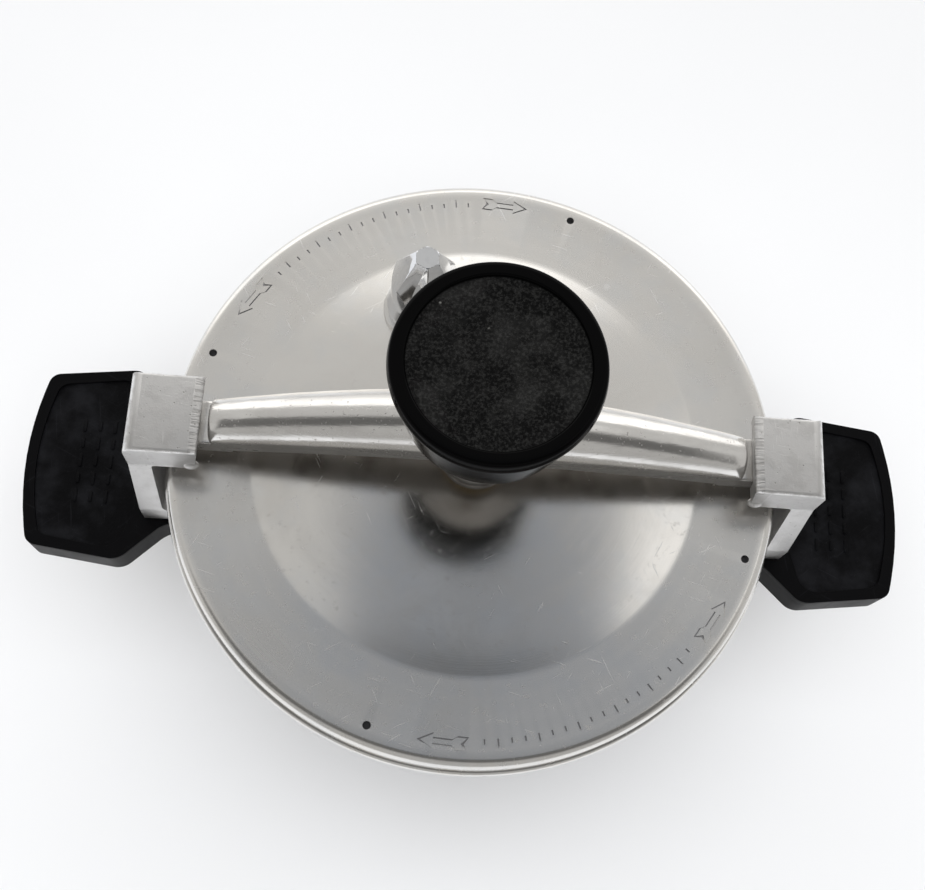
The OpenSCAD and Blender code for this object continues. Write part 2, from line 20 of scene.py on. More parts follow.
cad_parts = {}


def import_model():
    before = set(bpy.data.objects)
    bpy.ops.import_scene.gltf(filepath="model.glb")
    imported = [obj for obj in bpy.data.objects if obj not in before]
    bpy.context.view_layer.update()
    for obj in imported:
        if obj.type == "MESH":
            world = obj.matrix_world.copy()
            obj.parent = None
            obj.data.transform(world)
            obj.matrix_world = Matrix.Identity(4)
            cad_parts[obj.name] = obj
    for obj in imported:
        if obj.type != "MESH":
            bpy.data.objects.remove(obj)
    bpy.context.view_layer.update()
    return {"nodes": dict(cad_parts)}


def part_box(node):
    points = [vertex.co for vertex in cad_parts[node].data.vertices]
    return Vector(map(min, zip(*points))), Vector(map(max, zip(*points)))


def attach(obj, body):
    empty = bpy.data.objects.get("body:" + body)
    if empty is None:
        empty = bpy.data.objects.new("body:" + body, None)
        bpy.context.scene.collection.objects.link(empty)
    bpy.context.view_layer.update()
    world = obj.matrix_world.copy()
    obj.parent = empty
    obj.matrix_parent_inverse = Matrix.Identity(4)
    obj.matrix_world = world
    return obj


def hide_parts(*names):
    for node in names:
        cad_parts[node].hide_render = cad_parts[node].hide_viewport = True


MM = 0.001
TURN = math.tau
WELD = 1e-6

log = logging.getLogger("cooker")

Outline = list[tuple[float, float]]
Colour = tuple[float, float, float]


class Side(Enum):
    """Which end of the clamp bar a piece belongs to."""

    RIGHT = 1
    LEFT = -1

    @property
    def word(self) -> str:
        """The side's name as the nodes spell it."""
        return self.name.lower()


class Joinery(Enum):
    """How one solid is worked into another."""

    ADD = "UNION"
    CUT = "DIFFERENCE"
    SHARE = "INTERSECT"


# ------------------------------------------------------------------ drawing board
def arc(cx: float, cy: float, r: float, start: float, end: float, steps: int = 8) -> Outline:
    """Points along an arc.

    Args:
        cx, cy: Centre.
        r: Radius.
        start, end: Angles in degrees.
        steps: Number of chords.

    Returns:
        The points from start to end, both included.
    """
    turns = [math.radians(start + (end - start) * i / steps) for i in range(steps + 1)]
    return [(cx + r * math.cos(a), cy + r * math.sin(a)) for a in turns]


def corner(before: Vector, at: Vector, after: Vector, r: float, steps: int) -> Outline:
    """One corner of an outline, rounded.

    Args:
        before, at, after: The corner and its neighbours.
        r: Radius of the rounding.
        steps: Number of chords.

    Returns:
        The points of the rounding, from the side of before to the side of after.
    """
    u, v = (before - at).normalized(), (after - at).normalized()
    half = u.angle(v) / 2
    middle = at + (u + v).normalized() * (r / math.sin(half))
    first, last = at + u * (r / math.tan(half)), at + v * (r / math.tan(half))
    a0 = math.atan2(first.y - middle.y, first.x - middle.x)
    sweep = math.atan2(last.y - middle.y, last.x - middle.x) - a0
    sweep = (sweep + math.pi) % TURN - math.pi
    turns = [a0 + sweep * i / steps for i in range(steps + 1)]
    return [(middle.x + r * math.cos(a), middle.y + r * math.sin(a)) for a in turns]


def rounded(rows: Sequence[tuple[float, float, float]], steps: int = 6) -> Outline:
    """An outline whose corners are rounded.

    Args:
        rows: One (x, y, corner radius) for each corner, in order.
        steps: Chords in each rounded corner.

    Returns:
        The outline's points, without the first one repeated.
    """
    spots = [Vector(row[:2]) for row in rows]
    line: Outline = []
    for i, row in enumerate(rows):
        before, after = spots[i - 1], spots[(i + 1) % len(rows)]
        if row[2] > 0:
            line += corner(before, spots[i], after, row[2], steps)
        else:
            line.append((row[0], row[1]))
    return line


# ------------------------------------------------------------------ bench
class Bench:
    """The modelling moves that every piece is made with."""

    @staticmethod
    def clear() -> None:
        """Leaves edit mode with nothing selected."""
        if bpy.context.object and bpy.context.object.mode != "OBJECT":
            bpy.ops.object.mode_set(mode="OBJECT")
        bpy.ops.object.select_all(action="DESELECT")

    @staticmethod
    def pick(piece: bpy.types.Object, edit: bool = False) -> None:
        """Makes one piece the active and only selected one.

        Args:
            piece: The piece to work on.
            edit: Whether to enter edit mode with everything selected.
        """
        Bench.clear()
        piece.select_set(True)
        bpy.context.view_layer.objects.active = piece
        if edit:
            bpy.ops.object.mode_set(mode="EDIT")
            bpy.ops.mesh.select_all(action="SELECT")

    @staticmethod
    def trace(name: str, spots: Sequence[Vector]) -> bpy.types.Object:
        """Draws a line by extruding one vertex from spot to spot, and stays in edit mode.

        Args:
            name: Name of the new piece.
            spots: The places the line goes through.

        Returns:
            The piece, with the line as its mesh.
        """
        Bench.clear()
        bpy.ops.mesh.primitive_plane_add(size=MM, location=spots[0])
        piece = bpy.context.object
        piece.name = name
        bpy.ops.object.mode_set(mode="EDIT")
        bpy.ops.mesh.select_all(action="SELECT")
        bpy.ops.mesh.merge(type="CENTER")
        for here, there in zip(spots, spots[1:]):
            move = {"value": there - here}
            bpy.ops.mesh.extrude_region_move(TRANSFORM_OT_translate=move)
        bpy.ops.mesh.select_all(action="SELECT")
        return piece

    @staticmethod
    def settle(piece: bpy.types.Object) -> bpy.types.Object:
        """Closes seams, turns faces outwards and puts the piece's place in its mesh.

        Args:
            piece: The piece to finish.

        Returns:
            The same piece.
        """
        Bench.pick(piece, edit=True)
        bpy.ops.mesh.remove_doubles(threshold=WELD)
        bpy.ops.mesh.normals_make_consistent(inside=False)
        Bench.pick(piece)
        bpy.ops.object.transform_apply(location=True, rotation=True, scale=True)
        return piece

    @staticmethod
    def lathe(name: str, profile: Outline, steps: int = 96,
              centre: tuple[float, float] = (0.0, 0.0)) -> bpy.types.Object:
        """Spins a profile round a vertical axis.

        Args:
            name: Name of the new piece.
            profile: Its (radius, height) points.
            steps: Facets in a full turn.
            centre: Where the axis stands.

        Returns:
            The turned piece.
        """
        cx, cy = centre
        piece = Bench.trace(name, [Vector((cx + r, cy, z)) for r, z in profile])
        bpy.ops.mesh.spin(steps=steps, angle=TURN, center=(cx, cy, 0), axis=(0, 0, 1))
        return Bench.settle(piece)

    @staticmethod
    def slab(name: str, outline: Outline, place: Callable[[float, float], Vector],
             depth: Vector) -> bpy.types.Object:
        """Fills an outline and extrudes it.

        Args:
            name: Name of the new piece.
            outline: Its points.
            place: Turns a point of the outline into a place.
            depth: How far and which way it is extruded.

        Returns:
            The solid slab.
        """
        spots = [place(u, v) for u, v in outline]
        piece = Bench.trace(name, [*spots, spots[0]])
        bpy.ops.mesh.remove_doubles(threshold=WELD)
        bpy.ops.mesh.edge_face_add()
        bpy.ops.mesh.extrude_region_move(TRANSFORM_OT_translate={"value": depth})
        return Bench.settle(piece)

    @staticmethod
    def plate(name: str, outline: Outline, low: float, high: float) -> bpy.types.Object:
        """A flat slab between two heights.

        Args:
            name: Name of the new piece.
            outline: Its plan.
            low, high: Heights of its faces.

        Returns:
            The solid plate.
        """
        return Bench.slab(name, outline, lambda x, y: Vector((x, y, low)),
                          Vector((0, 0, high - low)))

    @staticmethod
    def modify(piece: bpy.types.Object, kind: str, **settings: object) -> None:
        """Adds a modifier and applies it.

        Args:
            piece: The piece to change.
            kind: The modifier's type.
            **settings: The modifier's settings.
        """
        Bench.pick(piece)
        modifier = piece.modifiers.new(kind.title(), kind)
        for key, value in settings.items():
            setattr(modifier, key, value)
        bpy.ops.object.modifier_apply(modifier=modifier.name)

    @staticmethod
    def work(piece: bpy.types.Object, tool: bpy.types.Object, how: Joinery) -> None:
        """Adds, cuts or shares one solid with another, and uses the tool up.

        Args:
            piece: The piece that stays.
            tool: The piece that is worked in.
            how: What is done with it.
        """
        Bench.modify(piece, "BOOLEAN", object=tool, operation=how.value, solver="EXACT")
        bpy.data.objects.remove(tool, do_unlink=True)

    @staticmethod
    def join(pieces: Sequence[bpy.types.Object]) -> bpy.types.Object:
        """Makes one piece of several.

        Args:
            pieces: The pieces; the first gives its name.

        Returns:
            The joined piece.
        """
        Bench.pick(pieces[0])
        for piece in pieces:
            piece.select_set(True)
        bpy.ops.object.join()
        return pieces[0]

    @staticmethod
    def copy(piece: bpy.types.Object, name: str) -> bpy.types.Object:
        """A copy of a piece, with its own mesh and none of the piece's tags.

        Args:
            piece: The piece to copy.
            name: The copy's name.

        Returns:
            The copy.
        """
        twin = piece.copy()
        twin.data = piece.data.copy()
        twin.name = name
        for tag in list(twin.keys()):
            del twin[tag]
        bpy.context.scene.collection.objects.link(twin)
        return twin

    @staticmethod
    def turned(piece: bpy.types.Object, matrix: Matrix) -> bpy.types.Object:
        """Turns or moves a piece and puts the change in its mesh.

        Args:
            piece: The piece to move.
            matrix: The change, about the origin.

        Returns:
            The same piece.
        """
        piece.matrix_world = matrix @ piece.matrix_world
        return Bench.settle(piece)

    @staticmethod
    def soften(piece: bpy.types.Object, width: float, segments: int = 3,
               sharp: float = 32, smooth: float = 40,
               where: Callable[[Vector], bool] | None = None) -> None:
        """Rounds the sharp edges of a piece and shades it.

        Args:
            piece: The piece to soften.
            width: Width of the rounding.
            segments: Facets across it.
            sharp: Edges that bend by more degrees than this are rounded.
            smooth: Edges that bend by fewer degrees than this are shaded smooth.
            where: Tells from an edge's middle whether it is rounded.
        """
        Bench.pick(piece, edit=True)
        bpy.ops.mesh.dissolve_limited(angle_limit=math.radians(0.5))
        bpy.ops.mesh.select_mode(type="EDGE")
        bpy.ops.mesh.select_all(action="DESELECT")
        mesh = bmesh.from_edit_mesh(piece.data)
        limit = math.radians(sharp)
        for edge in mesh.edges:
            middle = (edge.verts[0].co + edge.verts[1].co) / 2
            bent = len(edge.link_faces) == 2 and edge.calc_face_angle(0.0) > limit
            if bent and (where is None or where(middle)):
                edge.select_set(True)
        bmesh.update_edit_mesh(piece.data)
        bpy.ops.mesh.bevel(offset=width, segments=segments, profile=0.5,
                           clamp_overlap=True)
        bpy.ops.mesh.select_mode(type="VERT")
        bpy.ops.mesh.select_all(action="SELECT")
        bpy.ops.mesh.remove_doubles(threshold=WELD)
        Bench.shade(piece, smooth)

    @staticmethod
    def shade(piece: bpy.types.Object, smooth: float = 40) -> None:
        """Shades a piece smooth, but for edges that bend by more degrees than given."""
        Bench.pick(piece)
        bpy.ops.object.shade_smooth_by_angle(angle=math.radians(smooth))

    @staticmethod
    def flatten_shading(piece: bpy.types.Object) -> None:
        """Lets a piece's large faces set the shading, so that they look flat."""
        Bench.pick(piece)
        weigh = piece.modifiers.new("weigh", "WEIGHTED_NORMAL")
        weigh.keep_sharp = True
        bpy.ops.object.modifier_apply(modifier=weigh.name)


# ------------------------------------------------------------------ paint shop
class Wire:
    """One output of a shader node. Arithmetic on it adds Math nodes."""

    def __init__(self, shader: "Shader", socket: bpy.types.NodeSocket) -> None:
        """Keeps the output and the shader that it belongs to."""
        self.shader = shader
        self.socket = socket

    def _do(self, operation: str, first: "Source", second: "Source" = 0.0) -> "Wire":
        """Adds one Math node."""
        return self.shader.node("ShaderNodeMath", {"operation": operation},
                                {0: first, 1: second})

    def __add__(self, other: "Source") -> "Wire":
        """self + other."""
        return self._do("ADD", self, other)

    def __sub__(self, other: "Source") -> "Wire":
        """self - other."""
        return self._do("SUBTRACT", self, other)

    def __rsub__(self, other: "Source") -> "Wire":
        """other - self."""
        return self._do("SUBTRACT", other, self)

    def __mul__(self, other: "Source") -> "Wire":
        """self * other."""
        return self._do("MULTIPLY", self, other)

    def most(self, other: "Source") -> "Wire":
        """The larger of the two."""
        return self._do("MAXIMUM", self, other)

    def size(self) -> "Wire":
        """The value without its sign."""
        return self._do("ABSOLUTE", self)

    __radd__ = __add__
    __rmul__ = __mul__


Source = Union[Wire, float, Sequence[float]]


class Shader:
    """A material's nodes, added one at a time."""

    def __init__(self, name: str) -> None:
        """Starts an empty material of that name."""
        self.material = bpy.data.materials.new(name)
        self.material.use_nodes = True
        self.tree = self.material.node_tree
        self.tree.nodes.clear()
        self.here = self.node("ShaderNodeTexCoord", {}, {}, "Object")

    def node(self, kind: str, settings: dict[str, object],
             sockets: dict[int | str, Source], out: int | str = 0) -> Wire:
        """Adds a node.

        Args:
            kind: The node's type.
            settings: What the node itself is set to, a ramp's stops among them.
            sockets: A value or a link for each input that is used.
            out: Which output is wanted.

        Returns:
            That output.
        """
        made = self.tree.nodes.new(kind)
        for key, value in settings.items():
            if key == "stops":
                self._stops(made.color_ramp, value)
            else:
                setattr(made, key, value)
        for key, value in sockets.items():
            if isinstance(value, Wire):
                self.tree.links.new(value.socket, made.inputs[key])
            else:
                made.inputs[key].default_value = value
        return Wire(self, made.outputs[out])

    @staticmethod
    def _stops(ramp: bpy.types.ColorRamp, stops: Sequence[tuple[float, Colour]]) -> None:
        """Sets a ramp's stops, each a position and a colour."""
        while len(ramp.elements) < len(stops):
            ramp.elements.new(0.5)
        for element, (position, colour) in zip(ramp.elements, stops):
            element.position = position
            element.color = (*colour, 1)

    def placed(self, scale: Sequence[float] = (1, 1, 1), turn: Sequence[float] = (0, 0, 0),
               shift: Sequence[float] = (0, 0, 0)) -> Wire:
        """Object coordinates, moved, turned (in degrees) and stretched."""
        turn = [math.radians(a) for a in turn]
        return self.node("ShaderNodeMapping", {"vector_type": "POINT"},
                         {"Vector": self.here, "Location": shift, "Rotation": turn,
                          "Scale": scale})

    def noise(self, scale: float, detail: float = 3, rough: float = 0.5,
              at: Wire | None = None, twist: float = 0) -> Wire:
        """A noise from 0 to 1 with features about 1 / scale metres across."""
        return self.node("ShaderNodeTexNoise", {},
                         {"Vector": at or self.here, "Scale": scale, "Detail": detail,
                          "Roughness": rough, "Distortion": twist})

    def cells(self, scale: float, at: Wire | None = None) -> Wire:
        """Distance to the nearest of many scattered points."""
        return self.node("ShaderNodeTexVoronoi", {}, {"Vector": at or self.here,
                                                      "Scale": scale})

    def ease(self, value: Wire, start: float, end: float, low: float = 0.0,
             high: float = 1.0) -> Wire:
        """A smooth step from low at start to high at end."""
        return self.node("ShaderNodeMapRange", {"interpolation_type": "SMOOTHSTEP"},
                         {"Value": value, "From Min": start, "From Max": end,
                          "To Min": low, "To Max": high})

    def blend(self, amount: Source, first: Source | Colour, second: Source | Colour,
              how: str = "MIX") -> Wire:
        """Mixes two colours."""
        ends = [(*c, 1.0) if isinstance(c, tuple) else c for c in (first, second)]
        return self.node("ShaderNodeMix", {"data_type": "RGBA", "blend_type": how},
                         {0: amount, 6: ends[0], 7: ends[1]}, 2)

    def axis(self, letter: str) -> Wire:
        """One of the object coordinates."""
        return self.node("ShaderNodeSeparateXYZ", {}, {0: self.here}, letter)

    def radius(self, shift: Sequence[float] = (0, 0, 0)) -> Wire:
        """Distance from a vertical axis, which is the origin's moved by -shift."""
        flat = self.placed(scale=(1, 1, 0), shift=shift)
        return self.node("ShaderNodeVectorMath", {"operation": "LENGTH"}, {0: flat}, "Value")

    def rings(self, radius: Wire, per_metre: float, detail: float = 3) -> Wire:
        """Noise that changes only with a distance, as lathe marks do."""
        line = self.node("ShaderNodeCombineXYZ", {}, {0: radius})
        return self.noise(per_metre, detail, 0.6, line)

    def scratches(self, angles: Sequence[float], fine: float, long: float,
                  cover: float, tall: float = 1) -> Wire:
        """Thin straight scratches in several directions.

        Args:
            angles: Directions in degrees.
            fine: Scratches per metre across them.
            long: The same along them.
            cover: Noise value over which a scratch shows.
            tall: Scratches per metre of height, which ends them on an upright wall.

        Returns:
            A mask, 1 in a scratch.
        """
        mask: Wire | None = None
        for k, angle in enumerate(angles):
            way = self.placed(turn=(0, 0, angle), shift=(0.37 * k, 0.11 * k, 0))
            at = self.node("ShaderNodeMapping", {}, {"Vector": way, "Scale": (long, fine, tall)})
            one = self.ease(self.noise(1, 2, 0.4, at), cover, cover + 0.05)
            mask = one if mask is None else mask.most(one)
        return mask

    def bump(self, height: Wire, depth: float, strength: float = 1.0) -> Wire:
        """A normal from a height of 0 to 1 that stands for depth metres."""
        return self.node("ShaderNodeBump", {}, {"Height": height, "Distance": depth,
                                                "Strength": strength}, "Normal")

    def finish(self, sockets: dict[int | str, Source]) -> bpy.types.Material:
        """Ends the material in a Principled shader with these sockets."""
        surface = self.node("ShaderNodeBsdfPrincipled", {}, sockets)
        self.node_output(surface)
        return self.material

    def node_output(self, surface: Wire) -> None:
        """Joins a shader to the material's output."""
        end = self.tree.nodes.new("ShaderNodeOutputMaterial")
        self.tree.links.new(surface.socket, end.inputs["Surface"])


class Room(Shader):
    """A pale room: its light changes with the direction that it comes from."""

    def __init__(self, name: str) -> None:
        """Starts an empty world of that name."""
        self.world = bpy.data.worlds.new(name)
        self.world.use_nodes = True
        self.tree = self.world.node_tree
        self.tree.nodes.clear()
        self.here = self.node("ShaderNodeTexCoord", {}, {}, "Generated")

    def light(self) -> bpy.types.World:
        """Adds the room's light: a dark panel overhead, a window behind, a bright strip."""
        x, y = self.axis("X"), self.axis("Y")
        panel = (self.ease(x, -0.20, -0.13) * self.ease(x, 0.34, 0.29)
                 * self.ease(y, 0.32, 0.22) * self.ease(y, -0.20, -0.05))
        deep = (self.ease(y, -0.02, -0.15) * self.ease(y, -0.66, -0.56)
                * self.ease(x.size(), 0.85, 0.70))
        window = self.ease(y, 0.55, 0.64) * self.ease(y, 0.97, 0.84, 0.4)
        strip = (self.ease(x, 0.32, 0.37) * self.ease(x, 0.54, 0.46)
                 * self.ease(y, -0.08, 0.00) * self.ease(y, 0.40, 0.30))
        front = self.ease(y, -0.55, -0.70)
        strength = (0.57 - panel * 0.27 - deep * 0.44 + window * 0.85 + strip * 0.45
                    - front * 0.12)
        tint = self.blend(panel, (1.0, 0.985, 0.96), (0.92, 0.97, 1.05))
        glow = self.node("ShaderNodeBackground", {}, {"Color": tint, "Strength": strength})
        end = self.tree.nodes.new("ShaderNodeOutputWorld")
        self.tree.links.new(glow.socket, end.inputs["Surface"])
        return self.world


# ------------------------------------------------------------------ finishes
@dataclass(frozen=True)
class Finish:
    """A finish: its own name, and the material slot of the record that it stands for."""

    name: str
    slot: str

    def mix(self) -> bpy.types.Material:
        """The finish as a material, made once."""
        return bpy.data.materials.get(self.name) or self.coat(Shader(self.name))

    def coat(self, shader: Shader) -> bpy.types.Material:
        """Adds the finish's nodes."""
        raise NotImplementedError

    def apply(self, piece: bpy.types.Object) -> None:
        """Puts the finish on a whole piece."""
        slots = piece.material_slots
        if slots:
            for place in slots:
                place.material = self.mix()
        else:
            piece.data.materials.append(self.mix())


@dataclass(frozen=True)
class PolishedLid(Finish):
    """Old polished aluminium: a bright crown, a duller ring, stains, scratches, engraving, and
    painted shade in the engraving and the vent holes.
    """

    name: str = "polished_lid"
    slot: str = "lid_aluminium"
    clean: Colour = (0.84, 0.825, 0.80)
    stain: Colour = (0.72, 0.70, 0.665)
    bright: Colour = (0.95, 0.95, 0.94)
    cool: Colour = (0.76, 0.775, 0.79)
    # Colour of the painted shade in the engraved grooves and the vent holes' upper walls.
    painted_groove_shade: Colour = (0.28, 0.28, 0.29)
    # Colour of the painted shade deep in the vent holes.
    painted_hole_shade: Colour = (0.02, 0.02, 0.02)
    crown_r: float = 84 * MM
    crown_rise: float = 5 * MM

    def coat(self, shader: Shader) -> bpy.types.Material:
        """Adds the finish's nodes."""
        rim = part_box("lid")[1].z - self.crown_rise
        r, z = shader.radius(), shader.axis("Z")
        crown = shader.ease(r, self.crown_r - 0.6 * MM, self.crown_r + 0.6 * MM, 1, 0)
        flat = shader.ease(r, self.crown_r + 3 * MM, self.crown_r + 6 * MM) * shader.ease(
            r, 108 * MM, 107 * MM)
        # Mask of the engraving and the vent holes' upper walls, which take painted shade.
        cut = flat * shader.ease(z, rim - 0.02 * MM, rim - 0.12 * MM) * shader.ease(
            z, rim - 2 * MM, rim - 1 * MM)
        # Mask of the vent holes' walls below the engraving, which are painted near black as
        # shade.
        hole = flat * shader.ease(z, rim - 0.45 * MM, rim - 0.7 * MM) * shader.ease(
            z, rim - 2.9 * MM, rim - 2.7 * MM)
        clouds = shader.ease(shader.noise(23, 5, 0.62, twist=0.6), 0.38, 0.68)
        specks = shader.ease(shader.noise(300, 4, 0.7), 0.57, 0.72)
        warmth = shader.noise(46, 3, 0.6)
        drops = shader.ease(shader.cells(60), 0.05, 0.12, 1, 0) * shader.ease(
            shader.noise(31, 1), 0.54, 0.62)
        lines = shader.rings(r, 2300)
        broad = shader.ease(shader.rings(r, 190, 2), 0.3, 0.7)
        cuts = shader.scratches((14, 63, 118, 151), 1300, 70, 0.715) * shader.ease(
            shader.noise(28, 2), 0.42, 0.56)
        colour = shader.blend(clouds * 0.50 + specks * 0.36, self.clean, self.stain)
        colour = shader.blend(shader.ease(warmth, 0.45, 0.65) * 0.35, colour, self.cool)
        colour = shader.blend(cuts * 0.5 + drops * 0.3, colour, self.bright)
        # Painted shade: the engraving and upper hole walls darkened in colour.
        colour = shader.blend(cut * 0.85, colour, self.painted_groove_shade)
        # Painted shade: the vent holes' walls near black.
        colour = shader.blend(hole, colour, self.painted_hole_shade)
        rough = (0.215 + broad * 0.02 + clouds * 0.05 + specks * 0.08 - crown * 0.075
                 + cuts * 0.10 + cut * 0.15 + drops * 0.05)
        height = lines * 0.45 + cuts * 0.45 + shader.noise(60, 2) * 0.8 + specks * 0.15
        return shader.finish({
            "Base Color": colour, "Metallic": 1.0, "Roughness": rough,
            "Normal": shader.bump(height, 0.018 * MM, 0.9)})


@dataclass(frozen=True)
class SpunPot(Finish):
    """Spun aluminium with marks running round it."""

    name: str = "spun_pot"
    slot: str = "pot_aluminium"
    clean: Colour = (0.80, 0.79, 0.77)
    dull: Colour = (0.60, 0.59, 0.57)

    def coat(self, shader: Shader) -> bpy.types.Material:
        """Adds the finish's nodes."""
        r, z = shader.radius(), shader.axis("Z")
        marks = shader.rings(r + z, 2300)
        bands = shader.ease(shader.rings(r + z, 160, 2), 0.35, 0.65)
        clouds = shader.ease(shader.noise(19, 5, 0.6), 0.4, 0.7)
        heat = shader.ease(z, 0.0, 26 * MM, 1, 0) * shader.ease(shader.noise(40, 4), 0.35, 0.6)
        nicks = shader.scratches((40, 96, 170), 1300, 30, 0.72, 420)
        colour = shader.blend(clouds * 0.5 + heat * 0.5, self.clean, self.dull)
        colour = shader.blend(nicks * 0.4, colour, (0.92, 0.92, 0.9))
        return shader.finish({
            "Base Color": colour, "Metallic": 1.0,
            "Roughness": 0.27 + bands * 0.07 + clouds * 0.08 + heat * 0.12,
            "Normal": shader.bump(marks * 0.6 - nicks * 0.5 + bands * 0.4, 0.03 * MM)})


@dataclass(frozen=True)
class CastAluminium(Finish):
    """Matte cast aluminium with pits, file marks and bright worn edges."""

    name: str = "cast_aluminium_finish"
    slot: str = "cast_aluminium"
    skin: Colour = (0.68, 0.675, 0.67)
    dark: Colour = (0.40, 0.39, 0.38)
    bright: Colour = (0.95, 0.95, 0.95)
    half_w: float = 14.8 * MM
    hook_l: float = 27.4 * MM
    file_w: float = 3.4 * MM

    def coat(self, shader: Shader) -> bpy.types.Material:
        """Adds the finish's nodes."""
        top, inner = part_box("lug_right")[1].z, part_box("lug_right")[1].x - self.hook_l
        x, y, z = shader.axis("X").size(), shader.axis("Y").size(), shader.axis("Z")
        near_top = shader.ease(z, top - 1.3 * MM, top - 0.3 * MM)
        near_side = shader.ease(y, self.half_w - 1.1 * MM, self.half_w - 0.2 * MM)
        far_end = shader.ease(x, inner + self.hook_l - 3.6 * MM,
                              inner + self.hook_l - 2.2 * MM) * shader.ease(
            z, top - 3.6 * MM, top - 2.0 * MM) * 0.6
        ragged = shader.ease(shader.noise(330, 3), 0.35, 0.6)
        worn = (near_top * near_side).most(far_end) * ragged
        mottle = shader.ease(shader.noise(120, 5, 0.65), 0.42, 0.66)
        pits = shader.ease(shader.cells(620), 0.10, 0.22, 1, 0) * shader.ease(
            shader.noise(190, 2), 0.52, 0.64)
        files = shader.scratches((8, 84, 97), 2100, 80, 0.70)
        strip = shader.ease(x, inner + self.file_w, inner + self.file_w - 0.4 * MM)
        strokes = strip * shader.ease(shader.noise(1, 2, 0.6, shader.placed((90, 1100, 90))),
                                      0.46, 0.60) * shader.ease(z, top - 3 * MM, top - 2 * MM)
        grain = shader.noise(1500, 3, 0.6)
        colour = shader.blend(mottle * 0.16 + pits * 0.75 + strokes * 0.45, self.skin,
                              self.dark)
        colour = shader.blend(worn.most(files * 0.3), colour, self.bright)
        return shader.finish({
            "Base Color": colour, "Metallic": 1.0,
            "Roughness": 0.44 + mottle * 0.10 + pits * 0.2 - worn * 0.25 - files * 0.08,
            "Normal": shader.bump(grain * 0.5 + mottle * 0.6 - pits * 1.2 - files * 0.3
                                  - strokes * 0.8, 0.07 * MM)})


@dataclass(frozen=True)
class BrushedBar(Finish):
    """Polished bar aluminium with fine streaks along its length, and painted shade on its sides
    and underside.
    """

    name: str = "brushed_bar"
    slot: str = "bar_aluminium"
    clean: Colour = (0.85, 0.84, 0.82)
    dull: Colour = (0.56, 0.54, 0.52)
    # Colour of the painted shade on the bar's sides and underside.
    under: Colour = (0.13, 0.115, 0.10)

    def coat(self, shader: Shader) -> bpy.types.Material:
        """Adds the finish's nodes."""
        streaks = shader.noise(1, 4, 0.6, shader.placed((28, 1500, 1500)))
        soft = shader.ease(shader.noise(1, 3, 0.5, shader.placed((9, 210, 210))), 0.4, 0.62)
        pits = shader.ease(shader.noise(850, 2, 0.5), 0.66, 0.74)
        clouds = shader.ease(shader.noise(60, 4, 0.6), 0.45, 0.7)
        # Painted shade: faces that turn sideways or down are marked by their normal.
        facing = shader.node("ShaderNodeTexCoord", {}, {}, "Normal")
        up = shader.node("ShaderNodeSeparateXYZ", {}, {0: facing}, "Z")
        low = shader.ease(up, 0.18, 0.02) * 0.4 + shader.ease(up, -0.1, -0.5) * 0.6
        colour = shader.blend(soft * 0.25 + clouds * 0.2 + pits * 0.5, self.clean, self.dull)
        # Painted shade: the sideways and downward faces blend towards the dark under colour.
        colour = shader.blend(low * (0.75 + clouds * 0.2), colour, self.under)
        return shader.finish({
            "Base Color": colour, "Metallic": 1.0,
            "Roughness": 0.15 + soft * 0.06 + clouds * 0.05 + pits * 0.2 + low * 0.25,
            "Normal": shader.bump(streaks * 0.7 + soft * 0.8 - pits * 0.9, 0.035 * MM)})


@dataclass(frozen=True)
class Phenolic(Finish):
    """Black moulded phenolic: glossy border and sides, a grained matte panel."""

    name: str = "handle_phenolic"
    slot: str = "phenolic"
    black: Colour = (0.0022, 0.0022, 0.0026)
    dust: Colour = (0.030, 0.031, 0.036)

    def coat(self, shader: Shader) -> bpy.types.Material:
        """Adds the finish's nodes."""
        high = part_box("handle_right")[1]
        z = shader.axis("Z")
        inner = shader.ease(z, high.z - 0.25 * MM, high.z - 0.9 * MM) * shader.ease(
            z, high.z - 2.6 * MM, high.z - 2.0 * MM)
        pebbles = shader.cells(900, shader.here)
        smudge = shader.ease(shader.noise(55, 4, 0.6), 0.4, 0.7)
        fluff = shader.ease(shader.noise(1700, 2, 0.7), 0.66, 0.78)
        scuffs = shader.scratches((25, 80, 140), 1700, 45, 0.70)
        colour = shader.blend(inner * (smudge * 0.25 + fluff * 0.5) + scuffs * 0.2,
                              self.black, self.dust)
        return shader.finish({
            "Base Color": colour, "Specular IOR Level": 0.06,
            "Roughness": 0.38 + inner * 0.06 + smudge * 0.09 + scuffs * 0.12,
            "Normal": shader.bump(inner * pebbles * 1.0 + smudge * 0.10, 0.10 * MM, 0.8)})


